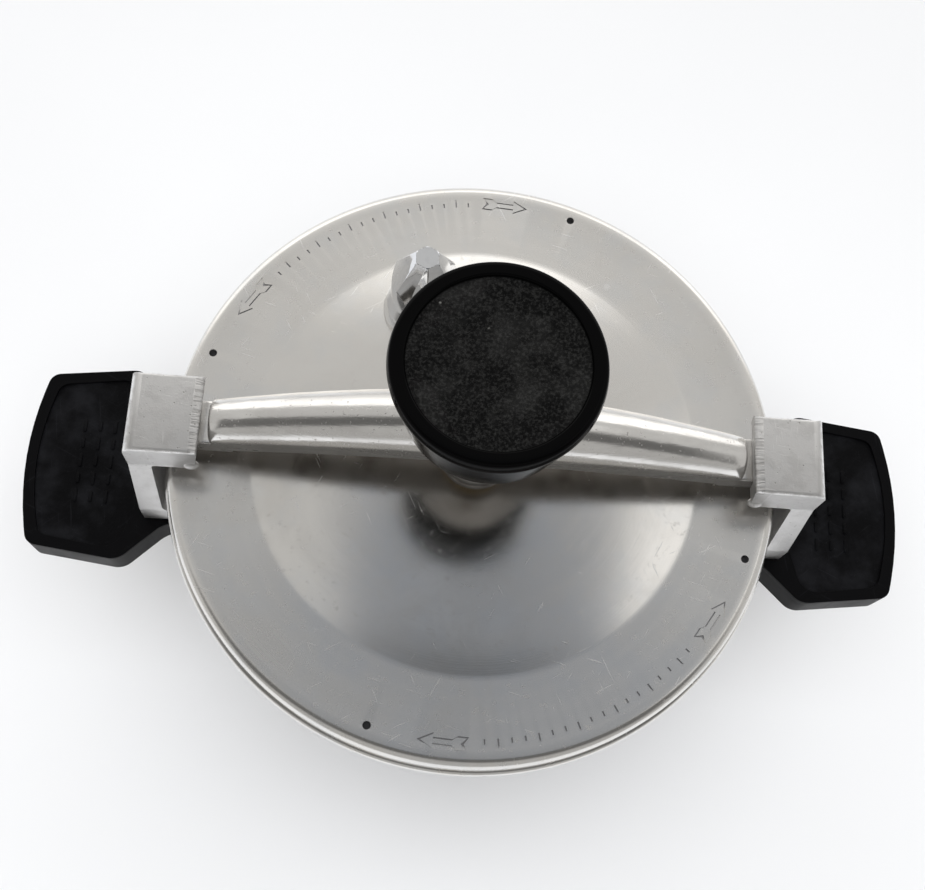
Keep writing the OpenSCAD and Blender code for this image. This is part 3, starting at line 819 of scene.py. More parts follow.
@dataclass(frozen=True)
class KnobPhenolic(Finish):
    """Glossy black phenolic round a worn, dusty field."""

    name: str = "knob_phenolic_finish"
    slot: str = "knob_phenolic"
    black: Colour = (0.0012, 0.0012, 0.0013)
    dust: Colour = (0.040, 0.040, 0.039)
    chip: Colour = (0.16, 0.16, 0.15)
    field_r: float = 29 * MM

    def coat(self, shader: Shader) -> bpy.types.Material:
        """Adds the finish's nodes."""
        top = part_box("knob")[1].z
        r, z = shader.radius(), shader.axis("Z")
        sunk = shader.ease(r, self.field_r - 0.4 * MM, self.field_r + 0.3 * MM, 1, 0) * (
            shader.ease(z, top - 3 * MM, top - 2 * MM))
        cloud = shader.ease(shader.noise(70, 5, 0.65, twist=0.4), 0.40, 0.68)
        speck = shader.ease(shader.noise(1150, 3, 0.7), 0.42, 0.72)
        chips = shader.ease(shader.cells(170), 0.05, 0.12, 1, 0) * shader.ease(
            shader.noise(70, 1), 0.60, 0.66)
        grain = shader.noise(1300, 3, 0.6)
        cuts = shader.scratches((35, 120), 1400, 60, 0.70)
        colour = shader.blend(sunk * (cloud * 0.22 + speck * 0.42 + 0.03), self.black,
                              self.dust)
        colour = shader.blend(sunk * chips, colour, self.chip)
        return shader.finish({
            "Base Color": colour, "Specular IOR Level": 0.045,
            "Roughness": 0.10 + sunk * 0.50 + cloud * 0.03 + cuts * 0.10,
            "Normal": shader.bump(sunk * (grain + chips * 0.6) + cuts * 0.1, 0.08 * MM)})


@dataclass(frozen=True)
class Metal(Finish):
    """A small turned or drawn metal piece with light wear."""

    clean: Colour = (0.6, 0.6, 0.6)
    dull: Colour = (0.4, 0.4, 0.4)
    rough: float = 0.3
    wear: float = 0.15
    depth: float = 0.02 * MM

    def coat(self, shader: Shader) -> bpy.types.Material:
        """Adds the finish's nodes."""
        clouds = shader.ease(shader.noise(160, 4, 0.6), 0.4, 0.68)
        spots = shader.ease(shader.noise(1100, 2, 0.6), 0.62, 0.74)
        lines = shader.rings(shader.axis("Z"), 3500)
        colour = shader.blend(clouds * 0.5 + spots * 0.4, self.clean, self.dull)
        return shader.finish({
            "Base Color": colour, "Metallic": 1.0,
            "Roughness": self.rough + clouds * self.wear + spots * self.wear,
            "Normal": shader.bump(lines * 0.5 + clouds * 0.5, self.depth)})


@dataclass(frozen=True)
class Rubber(Finish):
    """Dark moulded rubber with a dusty bloom."""

    name: str = "ring_rubber"
    slot: str = "rubber"
    black: Colour = (0.030, 0.030, 0.032)
    bloom: Colour = (0.10, 0.10, 0.105)

    def coat(self, shader: Shader) -> bpy.types.Material:
        """Adds the finish's nodes."""
        clouds = shader.ease(shader.noise(90, 4, 0.6), 0.45, 0.7)
        grain = shader.noise(1600, 3, 0.6)
        return shader.finish({
            "Base Color": shader.blend(clouds * 0.5, self.black, self.bloom),
            "Roughness": 0.62 + clouds * 0.15,
            "Normal": shader.bump(grain, 0.05 * MM)})


@dataclass(frozen=True)
class PaleFloor(Finish):
    """A matte white table."""

    name: str = "pale_floor"
    slot: str = ""
    white: Colour = (0.86, 0.87, 0.89)
    shade: Colour = (0.80, 0.81, 0.83)

    def coat(self, shader: Shader) -> bpy.types.Material:
        """Adds the finish's nodes."""
        wave = shader.ease(shader.noise(3, 2, 0.5), 0.3, 0.7)
        return shader.finish({
            "Base Color": shader.blend(wave * 0.4, self.white, self.shade),
            "Roughness": 0.72 + wave * 0.06})


LID = PolishedLid()
POT = SpunPot()
CAST = CastAluminium()
BAR = BrushedBar()
HANDLE = Phenolic()
KNOB = KnobPhenolic()
RUBBER = Rubber()
CHROME = Metal("valve_chrome", "chrome", (0.80, 0.815, 0.84), (0.70, 0.71, 0.74), 0.035,
               0.04, 0.003 * MM)
STEEL = Metal("plain_steel", "steel", (0.56, 0.55, 0.54), (0.38, 0.37, 0.36), 0.28, 0.18)
FOOT_STEEL = Metal("worn_steel", "steel", (0.26, 0.25, 0.24), (0.14, 0.13, 0.13), 0.36, 0.18)
BRASS = Metal("dull_brass", "brass", (0.52, 0.41, 0.25), (0.30, 0.24, 0.15), 0.34, 0.15)


# ------------------------------------------------------------------ sub-assemblies
@dataclass
class Assembly:
    """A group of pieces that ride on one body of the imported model."""

    body: str
    made: list[str] = field(default_factory=list)

    def hand_over(self, piece: bpy.types.Object, finish: Finish, *nodes: str) -> None:
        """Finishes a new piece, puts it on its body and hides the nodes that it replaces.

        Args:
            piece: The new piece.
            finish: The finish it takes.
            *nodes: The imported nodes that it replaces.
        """
        finish.apply(piece)
        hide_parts(*nodes)
        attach(piece, self.body)
        self.made.append(piece.name)
        log.info("%s on %s, for %s: %d faces", piece.name, self.body, ", ".join(nodes),
                 len(piece.data.polygons))

    def carry_over(self, nodes: dict[str, bpy.types.Object], finish: Finish,
                   *names: str) -> None:
        """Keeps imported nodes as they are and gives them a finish.

        Args:
            nodes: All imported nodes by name.
            finish: The finish that they take.
            *names: The nodes to keep.
        """
        for name in names:
            finish.apply(nodes[name])
            self.made.append(name)
            log.info("%s kept on %s in %s", name, self.body, finish.name)


@dataclass
class Pot(Assembly):
    """The pot body: a spun shell with a rolled lip and a ringed base."""

    body: str = "vessel"
    wall_r: float = 104 * MM
    wall_t: float = 3.5 * MM
    base_t: float = 6 * MM
    base_r: float = 14 * MM
    lip_t: float = 4 * MM
    lip_fillet: float = 3 * MM
    ring_pitch: float = 13 * MM
    ring_d: float = 0.35 * MM

    def build(self) -> None:
        """Turns the shell and hands it over."""
        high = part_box("pot_body")[1]
        top, lip_r = high.z, high.x
        inner_r = self.base_r - self.wall_t
        inside = self.wall_r - self.wall_t
        half = self.lip_t / 2
        under: Outline = [(0, self.ring_d), (9 * MM, self.ring_d), (9.4 * MM, 0)]
        r = 2 * self.ring_pitch
        while r < self.wall_r - self.base_r - 8 * MM:
            under += [(r - 0.8 * MM, 0), (r, self.ring_d), (r + 0.8 * MM, 0)]
            r += self.ring_pitch
        profile = (
            under
            + arc(self.wall_r - self.base_r, self.base_r, self.base_r, -90, 0, 14)
            + arc(self.wall_r + self.lip_fillet, top - self.lip_t - self.lip_fillet,
                  self.lip_fillet, 180, 90, 6)
            + arc(lip_r - half, top - half, half, -90, 90, 12)
            + arc(inside + 1 * MM, top - 1 * MM, 1 * MM, 90, 180, 5)
            + arc(inside - inner_r, self.base_t + inner_r, inner_r, 0, -90, 12)
            + [(0, self.base_t)])
        shell = Bench.lathe("pot_shell", profile, 160)
        Bench.shade(shell, 35)
        self.hand_over(shell, POT, "pot_body")


@dataclass
class Lug(Assembly):
    """A cast lug: a hook over the lid's edge on a flared leg, and a pad on the wall."""

    body: str = "vessel"
    side: Side = Side.RIGHT
    wall_r: float = 104 * MM
    pad_r: float = 109.5 * MM
    hook_w: float = 29.6 * MM
    foot_w: float = 45 * MM
    plate_t: float = 7.3 * MM
    cheek_h: float = 10 * MM
    leg_t: float = 9 * MM
    foot_t: float = 13 * MM
    reach: float = 18.4 * MM
    file_w: float = 3.4 * MM
    nose_r: float = 2.3 * MM
    tongue_w: float = 16.4 * MM
    play: float = 0.4 * MM

    def build(self, source: bpy.types.Object | None = None) -> bpy.types.Object:
        """Builds the casting, or copies the other side's.

        Args:
            source: The right lug, when this is the left one.

        Returns:
            The finished lug.
        """
        if source is None:
            lug = self._cast()
        else:
            lug = Bench.turned(Bench.copy(source, "lug_casting_" + self.side.word),
                               Matrix.Scale(-1, 4, (1, 0, 0)))
        self.hand_over(lug, CAST, "lug_" + self.side.word)
        return lug

    def _cast(self) -> bpy.types.Object:
        """Shapes the right lug from its side view and its end view."""
        low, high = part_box("lug_right")
        out, inner, top, floor = high.x, high.x - self.leg_t, high.z, low.z
        hook_in, under = inner - self.reach, high.z - self.plate_t
        toe, heel = under - self.cheek_h, floor + self.foot_t
        lug = Bench.slab(
            "lug_casting_" + self.side.word,
            rounded([(self.wall_r - MM, floor, 0), (out, floor, 1 * MM),
                     (out - 1 * MM, top, 4.5 * MM), (hook_in + self.file_w, top, 0.4 * MM),
                     (hook_in, top - 0.9 * MM, 0.8 * MM), (hook_in + 2.6 * MM, toe, 1.8 * MM),
                     (inner, toe, 1.5 * MM),
                     (inner, heel, 3 * MM), (self.wall_r - MM, heel, 0)]),
            lambda x, z: Vector((x, -self.foot_w, z)), Vector((0, 2 * self.foot_w, 0)))
        w, f = self.hook_w / 2, self.foot_w / 2
        front = Bench.slab(
            "lug_front", rounded([(-f, floor, 0.8 * MM), (f, floor, 0.8 * MM),
                                  (f, heel, 8 * MM), (w, toe, 12 * MM), (w, top, 1.4 * MM),
                                  (-w, top, 1.4 * MM), (-w, toe, 12 * MM),
                                  (-f, heel, 8 * MM)]),
            lambda y, z: Vector((self.wall_r - 12 * MM, y, z)), Vector((60 * MM, 0, 0)))
        Bench.work(lug, front, Joinery.SHARE)
        Bench.soften(lug, 2.2 * MM, 4, 50, 50,
                     lambda v: v.x > out - 5 * MM and v.z > floor + 2 * MM)
        pad_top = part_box("lug_rivets_right")[1].z + 1.5 * MM
        pad = Bench.lathe("lug_pad", [(self.wall_r - MM, floor), (self.pad_r, floor),
                                      (self.pad_r, pad_top), (self.wall_r - MM, pad_top),
                                      (self.wall_r - MM, floor)], 180)
        block = Bench.plate("lug_block", [(80 * MM, 2 * MM - f), (125 * MM, 2 * MM - f),
                                          (125 * MM, f - 2 * MM), (80 * MM, f - 2 * MM)],
                            floor - MM, pad_top + MM)
        Bench.work(pad, block, Joinery.SHARE)
        Bench.work(lug, pad, Joinery.ADD)
        wall = Bench.lathe("wall", [(0, floor - MM), (self.wall_r + 0.05 * MM, floor - MM),
                                    (self.wall_r + 0.05 * MM, top - 30 * MM),
                                    (0, top - 30 * MM)], 180)
        Bench.work(lug, wall, Joinery.CUT)
        room_y = -self.tongue_w / 2 - self.play
        room = Bench.plate("room", [(hook_in - MM, room_y), (inner, room_y), (inner, w + MM),
                                    (hook_in - MM, w + MM)], toe - MM, under)
        Bench.work(lug, room, Joinery.CUT)
        Bench.soften(lug, 0.55 * MM, 2, 35, 50)
        Bench.clear()
        bpy.ops.mesh.primitive_uv_sphere_add(
            segments=24, ring_count=14, radius=self.nose_r,
            location=(hook_in + 3.6 * MM, 0.5 * MM - w, toe + self.nose_r + 0.3 * MM))
        nose = bpy.context.object
        bpy.ops.object.mode_set(mode="EDIT")
        bpy.ops.mesh.select_all(action="SELECT")
        bpy.ops.transform.resize(value=(1.25, 0.8, 0.9))
        Bench.settle(nose)
        Bench.work(lug, nose, Joinery.ADD)
        Bench.shade(lug, 50)
        return lug


@dataclass
class Handle(Assembly):
    """A side handle: a waisted plate with a raised border round a sunk, ribbed panel."""

    body: str = "vessel"
    side: Side = Side.RIGHT
    inner_r: float = 104.6 * MM
    shoulder_x: float = 141 * MM
    grip_half: float = 40 * MM
    end_half: float = 35.5 * MM
    neck_half: float = 23.5 * MM
    bulge: float = 5 * MM
    border: float = 4.2 * MM
    panel_d: float = 1.3 * MM
    rib_w: float = 1.5 * MM
    rib_h: float = 0.7 * MM
    screw_x: float = 118.4 * MM
    screw_y: float = 14 * MM
    seat_r: float = 5.4 * MM
    seat_d: float = 4.8 * MM
    shank_r: float = 2.8 * MM

    def _plan(self, inset: float, end_x: float) -> Outline:
        """The handle's plan.

        Args:
            inset: How far the plan is shrunk, as for the panel.
            end_x: Where the outer end's bulge begins.

        Returns:
            The outline, counter-clockwise from the neck.
        """
        g, e, n = self.grip_half - inset, self.end_half - inset, self.neck_half
        if inset > 0:
            neck = [(131.3 * MM, 2 * inset - n, 3 * MM),
                    (self.shoulder_x - 4 * MM, -g, 8 * MM)]
        else:
            start = math.sqrt(self.inner_r ** 2 - n ** 2)
            neck = [(start, -n, 0), (119 * MM, -n, 14 * MM),
                    (self.shoulder_x - 5 * MM, -g, 8 * MM)]
        steps = [t / 5 for t in range(-4, 5)]
        nose = [(end_x + self.bulge * (1 - t * t), e * t, 0) for t in steps]
        rows = (neck + [(end_x + 0.1 * MM, -e, 5 * MM)] + nose
                + [(end_x + 0.1 * MM, e, 5 * MM)]
                + [(x, -y, r) for x, y, r in reversed(neck)])
        line = rounded(rows, 8)
        if inset == 0:
            half = math.degrees(math.asin(n / self.inner_r))
            line += arc(0, 0, self.inner_r, half, -half, 14)[1:-1]
        return line

    def build(self, source: bpy.types.Object | None = None) -> bpy.types.Object:
        """Builds the handle, or copies the other side's.

        Args:
            source: The right handle, when this is the left one.

        Returns:
            The finished handle.
        """
        if source is None:
            handle = self._mould()
        else:
            handle = Bench.turned(Bench.copy(source, "handle_grip_" + self.side.word),
                                  Matrix.Rotation(math.pi, 4, "Z"))
        self.hand_over(handle, HANDLE, "handle_" + self.side.word)
        return handle

    def _mould(self) -> bpy.types.Object:
        """Shapes the right handle."""
        low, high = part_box("handle_right")
        end_x = high.x - self.bulge
        floor = high.z - self.panel_d
        handle = Bench.plate("handle_grip_" + self.side.word, self._plan(0, end_x), low.z,
                             high.z)
        panel = Bench.plate("panel", self._plan(self.border, end_x - self.border), floor,
                            high.z + MM)
        Bench.work(handle, panel, Joinery.CUT)
        under, over, ledge = low.z - MM, high.z + MM, low.z + self.seat_d
        profile = [(0, under), (self.seat_r, under), (self.seat_r, ledge),
                   (self.shank_r, ledge), (self.shank_r, over), (0, over)]
        seats = [Bench.lathe("seat", profile, 40, (self.screw_x, y))
                 for y in (-self.screw_y, self.screw_y)]
        Bench.work(handle, Bench.join(seats), Joinery.CUT)
        Bench.soften(handle, 0.8 * MM, 3, 40, 50)
        Bench.flatten_shading(handle)
        ribs = [self._rib(x, y, length, floor) for x, y, length in self._rib_rows()]
        ribs = Bench.join(ribs)
        return Bench.join([handle, ribs])

    @staticmethod
    def _rib_rows() -> list[tuple[float, float, float]]:
        """The plain ribs in the panel: each one's centre and length."""
        rows = []
        for column, x in enumerate((144, 150, 156)):
            for row in range(5):
                length = (8.0, 6.4)[(row + column) % 2]
                rows.append((x * MM, (row - 2) * 7.4 * MM, length * 0.7 * MM))
        return rows

    def _rib(self, x: float, y: float, length: float, floor: float) -> bpy.types.Object:
        """One raised rib across the panel.

        Args:
            x, y: Its centre.
            length: Its length along Y.
            floor: Height of the panel.

        Returns:
            The rib, its foot sunk a little into the panel.
        """
        w, h = self.rib_w / 2, length / 2
        plan = rounded([(x - w, y - h, 0.7 * MM), (x + w, y - h, 0.7 * MM),
                        (x + w, y + h, 0.7 * MM), (x - w, y + h, 0.7 * MM)], 4)
        rib = Bench.plate("rib", plan, floor - 0.2 * MM, floor + self.rib_h)
        Bench.soften(rib, 0.25 * MM, 2, 60, 60, lambda v: v.z > floor)
        return rib


@dataclass
class Lid(Assembly):
    """The lid: a crowned disc with a rolled skirt, engraved arrows and four edge vents."""

    body: str = "lid_group"
    crown_rise: float = 5 * MM
    crown_h: float = 5.0 * MM
    crown_r: float = 84 * MM
    sheet_t: float = 3 * MM
    edge_r: float = 3.5 * MM
    bead_r: float = 1.7 * MM
    skirt_h: float = 10.5 * MM
    line_h: float = 0.06 * MM
    seat_r: float = 15.2 * MM
    seat_hole: float = 4.85 * MM
    vent_r: float = 1.5 * MM
    vent_in: float = 7.6 * MM
    vent_bearing: float = 71.8
    arrow_turn: float = 14.5
    engrave: float = 0.35 * MM
    weight_gap: float = 0.8 * MM
    rim: float = field(init=False, default=0.0)
    r: float = field(init=False, default=0.0)
    ring_r: float = field(init=False, default=0.0)

    def build(self) -> None:
        """Turns the lid, adds the valve's seat, cuts holes and engraving."""
        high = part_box("lid")[1]
        self.rim = high.z - self.crown_rise
        self.r = high.x - self.bead_r
        self.ring_r = self.r - self.vent_in
        lid = Bench.lathe("lid_disc", self._profile(), 256)
        pipe_lo, pipe_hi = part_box("vent_pipe")
        centre = ((pipe_lo.x + pipe_hi.x) / 2, (pipe_lo.y + pipe_hi.y) / 2)
        seat_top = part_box("valve_weight")[0].z - self.weight_gap
        seat = Bench.lathe("seat", [(0, seat_top - 4 * MM), (self.seat_r, seat_top - 4 * MM),
                                    *arc(self.seat_r - 0.5 * MM, seat_top - 0.5 * MM,
                                         0.5 * MM, 0, 90, 4), (0, seat_top)], 64, centre)
        Bench.work(lid, seat, Joinery.ADD)
        Bench.work(lid, Bench.join(self._cutters(centre)), Joinery.CUT)
        Bench.shade(lid, 28)
        self.hand_over(lid, LID, "lid")

    def _profile(self) -> Outline:
        """The lid's section, from the crown's centre round to its underside's."""
        rim, e = self.rim, self.edge_r
        step = self.crown_r
        rise = self.crown_rise - self.crown_h
        crown = []
        for i in range(25):
            r = (step - 1.8 * MM) * i / 24
            crown.append((r, rim + rise + self.crown_h * (1 - (r / step) ** 2)))
        edge_z = crown[-1][1] - rim
        slope = [(step - 1.2 * MM, rim + edge_z * 0.70), (step - 0.5 * MM, rim + edge_z * 0.38),
                 (step + 0.3 * MM, rim + edge_z * 0.12), (step + 1.0 * MM, rim)]
        lip_in = self.r - e - 3.4 * MM
        line = [(lip_in, rim), (lip_in + 0.8 * MM, rim + self.line_h)]
        outer = arc(self.r - e, rim - e + self.line_h, e, 90, 2, 12)
        low = rim - self.skirt_h
        bead = arc(self.r, low, self.bead_r, 85, -90, 12)
        inside = self.r - self.sheet_t
        under = [(inside, low - self.bead_r), (inside, rim - self.sheet_t),
                 (step + 2 * MM, rim - self.sheet_t)]
        below = [(r, z - self.sheet_t) for r, z in reversed(crown)]
        return crown + slope + line + outer + [(self.r, low + 2.2 * MM)] + bead + under + below

    def _cutters(self, valve: tuple[float, float]) -> list[bpy.types.Object]:
        """Everything that is drilled or engraved.

        Args:
            valve: Centre of the valve's hole.

        Returns:
            The cutting pieces, none of which touch.
        """
        low, high = self.rim - 12 * MM, self.rim + 12 * MM
        tools = [self._drill(valve, self.seat_hole, low, high, 48)]
        for k in range(4):
            a = math.radians(self.vent_bearing + 90 * k)
            spot = (self.ring_r * math.cos(a), self.ring_r * math.sin(a))
            tools.append(self._drill(spot, self.vent_r, low, high, 32))
        arrow = self._arrow()
        first = self.vent_bearing + self.arrow_turn
        last = self.vent_bearing + 90 - self.arrow_turn
        for half in (0, 180):
            for bearing, facing in ((first, -90), (last, 90)):
                spin = Matrix.Rotation(math.radians(bearing + half), 4, "Z")
                move = Matrix.Translation((self.ring_r - MM, 0, 0))
                face = Matrix.Rotation(math.radians(facing), 4, "Z")
                tools.append(Bench.turned(Bench.copy(arrow, "arrow"), spin @ move @ face))
        bpy.data.objects.remove(arrow, do_unlink=True)
        tick_long, tick_short = (self._tick(size) for size in (3.2 * MM, 1.8 * MM))
        edge, count = 8, 17
        for half in (0, 180):
            for i in range(count + 1):
                bearing = half + first + edge + (last - first - 2 * edge) * i / count
                model = tick_long if i % 3 == 1 else tick_short
                tools.append(Bench.turned(Bench.copy(model, "tick"), Matrix.Rotation(
                    math.radians(bearing), 4, "Z")))
        for model in (tick_long, tick_short):
            bpy.data.objects.remove(model, do_unlink=True)
        return tools

    @staticmethod
    def _drill(centre: tuple[float, float], r: float, low: float, high: float,
               steps: int) -> bpy.types.Object:
        """A drill for one upright hole."""
        return Bench.lathe("drill", [(0, low), (r, low), (r, high), (0, high)], steps, centre)

    def _arrow(self) -> bpy.types.Object:
        """The outline of an arrow along +X, as a cutter at the centre of the lid."""
        def shape(inset: float, squeeze: float, shift: float) -> Outline:
            """The arrow's plan, shrunk."""
            tail = [(-9.2, 2.6), (-5.4, 2.6), (-3.6, 1.3), (3.4, 1.3), (3.4, 2.9)]
            upper = [(x * squeeze + shift, y - inset) for x, y in tail]
            lower = [(x, -y) for x, y in reversed(upper)]
            tip = ((9 - 1.6 * inset) * squeeze + shift, 0)
            notch = ((-7.6 + inset) * squeeze + shift, 0)
            return [(x * MM, y * MM) for x, y in (*upper, tip, *lower, notch)]

        low, high = self.rim - self.engrave, self.rim + MM
        arrow = Bench.plate("arrow_outer", shape(0, 1, 0), low, high)
        core = Bench.plate("arrow_core", shape(0.5, 0.94, 0.15), low - MM, high + MM)
        Bench.work(arrow, core, Joinery.CUT)
        return arrow

    def _tick(self, length: float) -> bpy.types.Object:
        """One engraved tick that points at the lid's centre."""
        start, w = self.ring_r - 2.6 * MM, 0.3 * MM
        return Bench.plate("tick_model", [(start, -w), (start + length, -w),
                                          (start + length, w), (start, w)],
                           self.rim - self.engrave, self.rim + MM)


@dataclass
class Valve(Assembly):
    """The chromed weight: a bell with six leaning flats, on the vent pipe."""

    body: str = "weight"
    skirt_r: float = 14 * MM
    hex_r: float = 12.4 * MM
    top_r: float = 4.4 * MM
    bore_r: float = 5.4 * MM
    turn: float = 3

    def build(self) -> None:
        """Turns the weight, planes its flats and hands it over."""
        low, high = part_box("valve_weight")
        centre = Vector(((low.x + high.x) / 2, (low.y + high.y) / 2, 0))
        bottom, top = low.z, high.z
        s, c, t = self.skirt_r, self.hex_r, self.top_r
        wide, narrow = top - 16 * MM, top - 1.2 * MM
        outer = rounded([(0, bottom, 0), (s - 1.2 * MM, bottom, 0.8 * MM),
                         (s - 0.6 * MM, bottom + 2.5 * MM, 0), (s, bottom + 3 * MM, 0.4 * MM),
                         (s, bottom + 6 * MM, 1.5 * MM), (c + 0.2 * MM, bottom + 12 * MM,
                                                          12 * MM),
                         (c, wide, 3 * MM), (t + 0.8 * MM, narrow, 0.8 * MM),
                         (t, top, 0.5 * MM), (0, top, 0)], 8)
        bore = [(0, bottom + 26 * MM), (self.bore_r, bottom + 26 * MM), (self.bore_r, bottom)]
        weight = Bench.lathe("weight_bell", bore + outer[1:], 128, (centre.x, centre.y))
        lean = math.atan((c - t - 0.8 * MM) * math.cos(math.pi / 6) / (narrow - wide))
        Bench.pick(weight, edit=True)
        for k in range(6):
            a = math.radians(60 * k + self.turn)
            out = Vector((math.cos(a), math.sin(a), 0))
            normal = out * math.cos(lean) + Vector((0, 0, math.sin(lean)))
            spot = centre + out * c * math.cos(math.pi / 6) + Vector((0, 0, wide))
            bpy.ops.mesh.select_all(action="SELECT")
            bpy.ops.mesh.bisect(plane_co=spot, plane_no=normal, use_fill=True,
                                clear_outer=True)
        Bench.settle(weight)
        Bench.soften(weight, 0.22 * MM, 2, 14, 40, lambda v: v.z > bottom + 13 * MM)
        self.hand_over(weight, CHROME, "valve_weight")


@dataclass
class ClampBar(Assembly):
    """The clamp bar: a half-round rib on a flat-sided web, flat tongues and a round boss."""

    body: str = "bar"
    tongue_w: float = 16.4 * MM
    tongue_t: float = 8.2 * MM
    bar_w: float = 24 * MM
    rise: float = 18 * MM
    rib_end: float = 97.2 * MM
    boss_r: float = 24 * MM
    bush_r: float = 9.05 * MM
    stations: int = 48
    facets: int = 20
    tongue_top: float = field(init=False, default=0.0)

    def _half_w(self, x: float) -> float:
        """Half the bar's width at x."""
        t = min(1.0, abs(x) / self.rib_end)
        return self.tongue_w / 2 + (self.bar_w - self.tongue_w) / 2 * (1 - t ** 1.5)

    def _spring(self, x: float) -> float:
        """Height at x where the flat sides meet the round rib."""
        return self.tongue_top + self.rise * (1 - min(1.0, abs(x) / self.rib_end) ** 1.7)

    def build(self) -> None:
        """Draws the arch out, adds tongues and boss, bores it and hands it over."""
        low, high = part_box("clamp_bar")
        self.tongue_top = low.z + self.tongue_t
        bar = self._arch()
        tip = high.x
        for side in Side:
            s = side.value
            plan = rounded([(s * (self.rib_end - 8 * MM), -s * self.tongue_w / 2, 0),
                            (s * tip, -s * self.tongue_w / 2, 1.5 * MM),
                            (s * tip, s * self.tongue_w / 2, 1.5 * MM),
                            (s * (self.rib_end - 8 * MM), s * self.tongue_w / 2, 0)], 5)
            tongue = Bench.plate("tongue", plan, low.z, self.tongue_top)
            Bench.soften(tongue, 0.5 * MM, 2, 60, 60)
            Bench.work(bar, tongue, Joinery.ADD)
        top, bottom = high.z, low.z + self.rise - 0.5 * MM
        r = self.boss_r
        boss = Bench.lathe("boss", rounded([(0, bottom, 0), (r * 0.62, bottom, 1.5 * MM),
                                            (r, top - 7 * MM, 4 * MM),
                                            (r - 3 * MM, top, 2.5 * MM), (0, top, 0)], 6), 96)
        Bench.work(bar, boss, Joinery.ADD)
        drill = Bench.lathe("drill", [(0, bottom - MM), (self.bush_r, bottom - MM),
                                      (self.bush_r, top + MM), (0, top + MM)], 64)
        Bench.work(bar, drill, Joinery.CUT)
        Bench.shade(bar, 35)
        self.hand_over(bar, BAR, "clamp_bar")

    def _arch(self) -> bpy.types.Object:
        """Extrudes the section from one end of the rib to the other."""
        end, n = self.rib_end, self.facets
        xs = [-end, -end + 0.5 * MM, -end + 1.3 * MM]
        xs += [-end + 1.3 * MM + (2 * end - 2.6 * MM) * i / self.stations
               for i in range(1, self.stations + 1)]
        xs += [end - 0.5 * MM, end]
        shrink = {0: 0.86, 1: 0.95, len(xs) - 2: 0.95, len(xs) - 1: 0.86}
        width = [self._half_w(x) * shrink.get(i, 1.0) for i, x in enumerate(xs)]
        w, z, x = width[0], self._spring(-end), -end
        foot = z - self.tongue_t
        section = [Vector((x, w - 0.8 * MM, foot)), Vector((x, w, foot + 0.8 * MM))]
        section += [Vector((x, w * math.cos(math.pi * i / n), z + w * math.sin(
            math.pi * i / n))) for i in range(n + 1)]
        section += [Vector((x, -w, foot + 0.8 * MM)), Vector((x, 0.8 * MM - w, foot))]
        arch = Bench.trace("clamp_arch", [*section, section[0]])
        bpy.ops.mesh.remove_doubles(threshold=WELD)
        bpy.ops.mesh.edge_face_add()
        for i in range(1, len(xs)):
            rise = self._spring(xs[i]) - self._spring(xs[i - 1])
            step = Vector((xs[i] - xs[i - 1], 0, rise))
            bpy.ops.mesh.extrude_region_move(TRANSFORM_OT_translate={"value": step})
            grow, centre = width[i] / width[i - 1], (xs[i], 0, self._spring(xs[i]))
            bpy.ops.transform.resize(value=(1, grow, 1), center_override=centre)
            self._crown_only(arch, xs[i], centre, grow)
        return Bench.settle(arch)

    @staticmethod
    def _crown_only(arch: bpy.types.Object, x: float, centre: Sequence[float],
                    grow: float) -> None:
        """Scales the round part of the newest section in height, then picks the section.

        Args:
            arch: The bar being drawn out, in edit mode.
            x: Place of its newest section.
            centre: The section's centre.
            grow: The scale.
        """
        mesh = bmesh.from_edit_mesh(arch.data)
        shift = arch.location
        ring = [v for v in mesh.verts if v.select]
        for vert in ring:
            vert.select = vert.co.z + shift.z > centre[2] + WELD
        mesh.select_flush_mode()
        bmesh.update_edit_mesh(arch.data)
        bpy.ops.transform.resize(value=(1, 1, grow), center_override=centre)
        bpy.ops.mesh.select_all(action="DESELECT")
        mesh = bmesh.from_edit_mesh(arch.data)
        for face in mesh.faces:
            if all(abs(v.co.x + shift.x - x) < WELD for v in face.verts):
                face.select_set(True)
        bmesh.update_edit_mesh(arch.data)


@dataclass
class Knob(Assembly):
    """The knob: a hub, a full round body and a glossy rim round a sunk field."""

    body: str = "screw"
    hub_r: float = 16 * MM
    skirt_h: float = 6.5 * MM
    field_r: float = 29 * MM
    field_d: float = 1.4 * MM
    insert_r: float = 9.55 * MM
    insert_h: float = 20 * MM

    def build(self) -> None:
        """Turns the knob and hands it over."""
        low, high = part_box("knob")
        r, bottom, top = high.x, low.z, high.z
        skirt = bottom + self.skirt_h
        outer = rounded([(self.insert_r, bottom, 0), (self.hub_r, bottom, 1.5 * MM),
                         (self.hub_r + 1.5 * MM, skirt, 3 * MM), (r * 0.84, skirt, 4 * MM),
                         (r - 1.5 * MM, top - 12 * MM, 14 * MM), (r, top - 4 * MM, 6 * MM),
                         (r - 0.8 * MM, top, 1.8 * MM), (self.field_r + 0.5 * MM, top,
                                                         0.8 * MM),
                         (self.field_r, top - self.field_d, 0.5 * MM),
                         (0, top - self.field_d, 0), (0, bottom + self.insert_h, 0),
                         (self.insert_r, bottom + self.insert_h, 0)], 10)
        knob = Bench.lathe("knob_moulding", [*outer, outer[0]], 160)
        Bench.shade(knob, 40)
        self.hand_over(knob, KNOB, "knob")


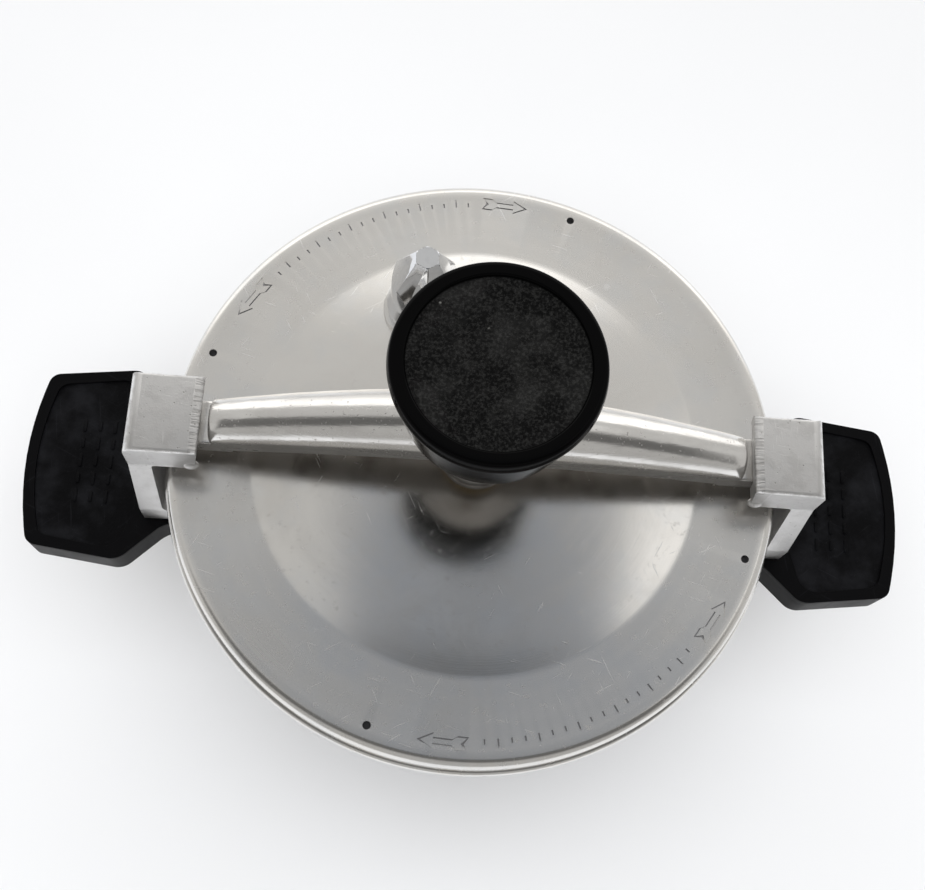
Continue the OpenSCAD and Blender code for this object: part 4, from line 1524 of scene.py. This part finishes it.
# ------------------------------------------------------------------ studio
@dataclass
class Studio:
    """The camera, the soft lights and the pale floor."""

    azimuth: float = -8.7
    elevation: float = 71.0
    roll: float = 12.2
    distance: float = 476.1 * MM
    aim: tuple[float, float] = (-5.2 * MM, 3.5 * MM)
    width: int = 925
    focal: float = 1262.8
    box_z: float = 2.2
    box_size: float = 2.0
    box_power: float = 42
    floor_size: float = 14
    floor_drop: float = 0.2 * MM

    def shoot(self) -> None:
        """Sets the camera, lights and floor up."""
        self._camera()
        self._lights()
        self._floor()
        log.info("studio ready")

    def _camera(self) -> None:
        """Places the camera over the rim plane."""
        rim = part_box("lid")[1].z - Lid.crown_rise
        a, e, roll = (math.radians(v) for v in (self.azimuth, self.elevation, self.roll))
        back = Vector((math.sin(a) * math.cos(e), -math.cos(a) * math.cos(e), math.sin(e)))
        right = (-back).cross(Vector((0, 0, 1))).normalized()
        up = right.cross(-back).normalized()
        columns = (right * math.cos(roll) + up * math.sin(roll),
                   up * math.cos(roll) - right * math.sin(roll), back)
        place = Matrix(columns).transposed().to_4x4()
        place.translation = Vector((*self.aim, rim)) + back * self.distance
        bpy.ops.object.camera_add()
        camera = bpy.context.object
        camera.name = "studio_camera"
        camera.matrix_world = place
        camera.data.sensor_width = 36
        camera.data.lens = 36 * self.focal / self.width
        camera.data.dof.use_dof = False
        bpy.context.scene.camera = camera

    def _lights(self) -> None:
        """Lights the room, and hangs a large soft box over the floor."""
        scene = bpy.context.scene
        scene.world = Room("studio_room").light()
        scene.view_settings.view_transform = "Standard"
        bpy.ops.object.light_add(type="AREA", location=(-0.1, -0.45, self.box_z))
        lamp = bpy.context.object
        lamp.name = "floor_box"
        lamp.data.size = self.box_size
        lamp.data.energy = self.box_power
        lamp.visible_glossy = False

    def _floor(self) -> None:
        """Lays the floor under the pot's base."""
        bpy.ops.object.select_all(action="DESELECT")
        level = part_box("pot_body")[0].z - self.floor_drop
        bpy.ops.mesh.primitive_plane_add(size=self.floor_size, location=(0, 0, level))
        floor = bpy.context.object
        floor.name = "pale_table"
        PaleFloor().apply(floor)


def main() -> None:
    """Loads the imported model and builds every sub-assembly around it."""
    logging.basicConfig(level=logging.INFO, format="%(name)s: %(message)s")
    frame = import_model()
    nodes = frame["nodes"]
    Bench.clear()
    Studio().shoot()
    vessel = Pot()
    vessel.build()
    vessel.carry_over(nodes, STEEL, "handle_screws_left", "handle_screws_right",
                      "handle_washers_left", "handle_washers_right")
    vessel.carry_over(nodes, CAST, "lug_rivets_left", "lug_rivets_right")
    right_lug = Lug().build()
    Lug(side=Side.LEFT).build(right_lug)
    right_handle = Handle().build()
    Handle(side=Side.LEFT).build(right_handle)
    lid = Lid()
    lid.build()
    lid.carry_over(nodes, RUBBER, "gasket", "pipe_washer")
    lid.carry_over(nodes, STEEL, "vent_pipe")
    lid.carry_over(nodes, BRASS, "pipe_nut")
    valve = Valve()
    valve.build()
    valve.carry_over(nodes, STEEL, "valve_needle", "weight_clip")
    bar = ClampBar()
    bar.build()
    bar.carry_over(nodes, BRASS, "bar_bush")
    foot = Assembly("foot")
    foot.carry_over(nodes, FOOT_STEEL, "pressure_foot", "foot_clip")
    knob = Knob()
    knob.build()
    knob.carry_over(nodes, STEEL, "spindle", "knob_pin")
    knob.carry_over(nodes, BRASS, "knob_insert")


if __name__ == "__main__":
    main()
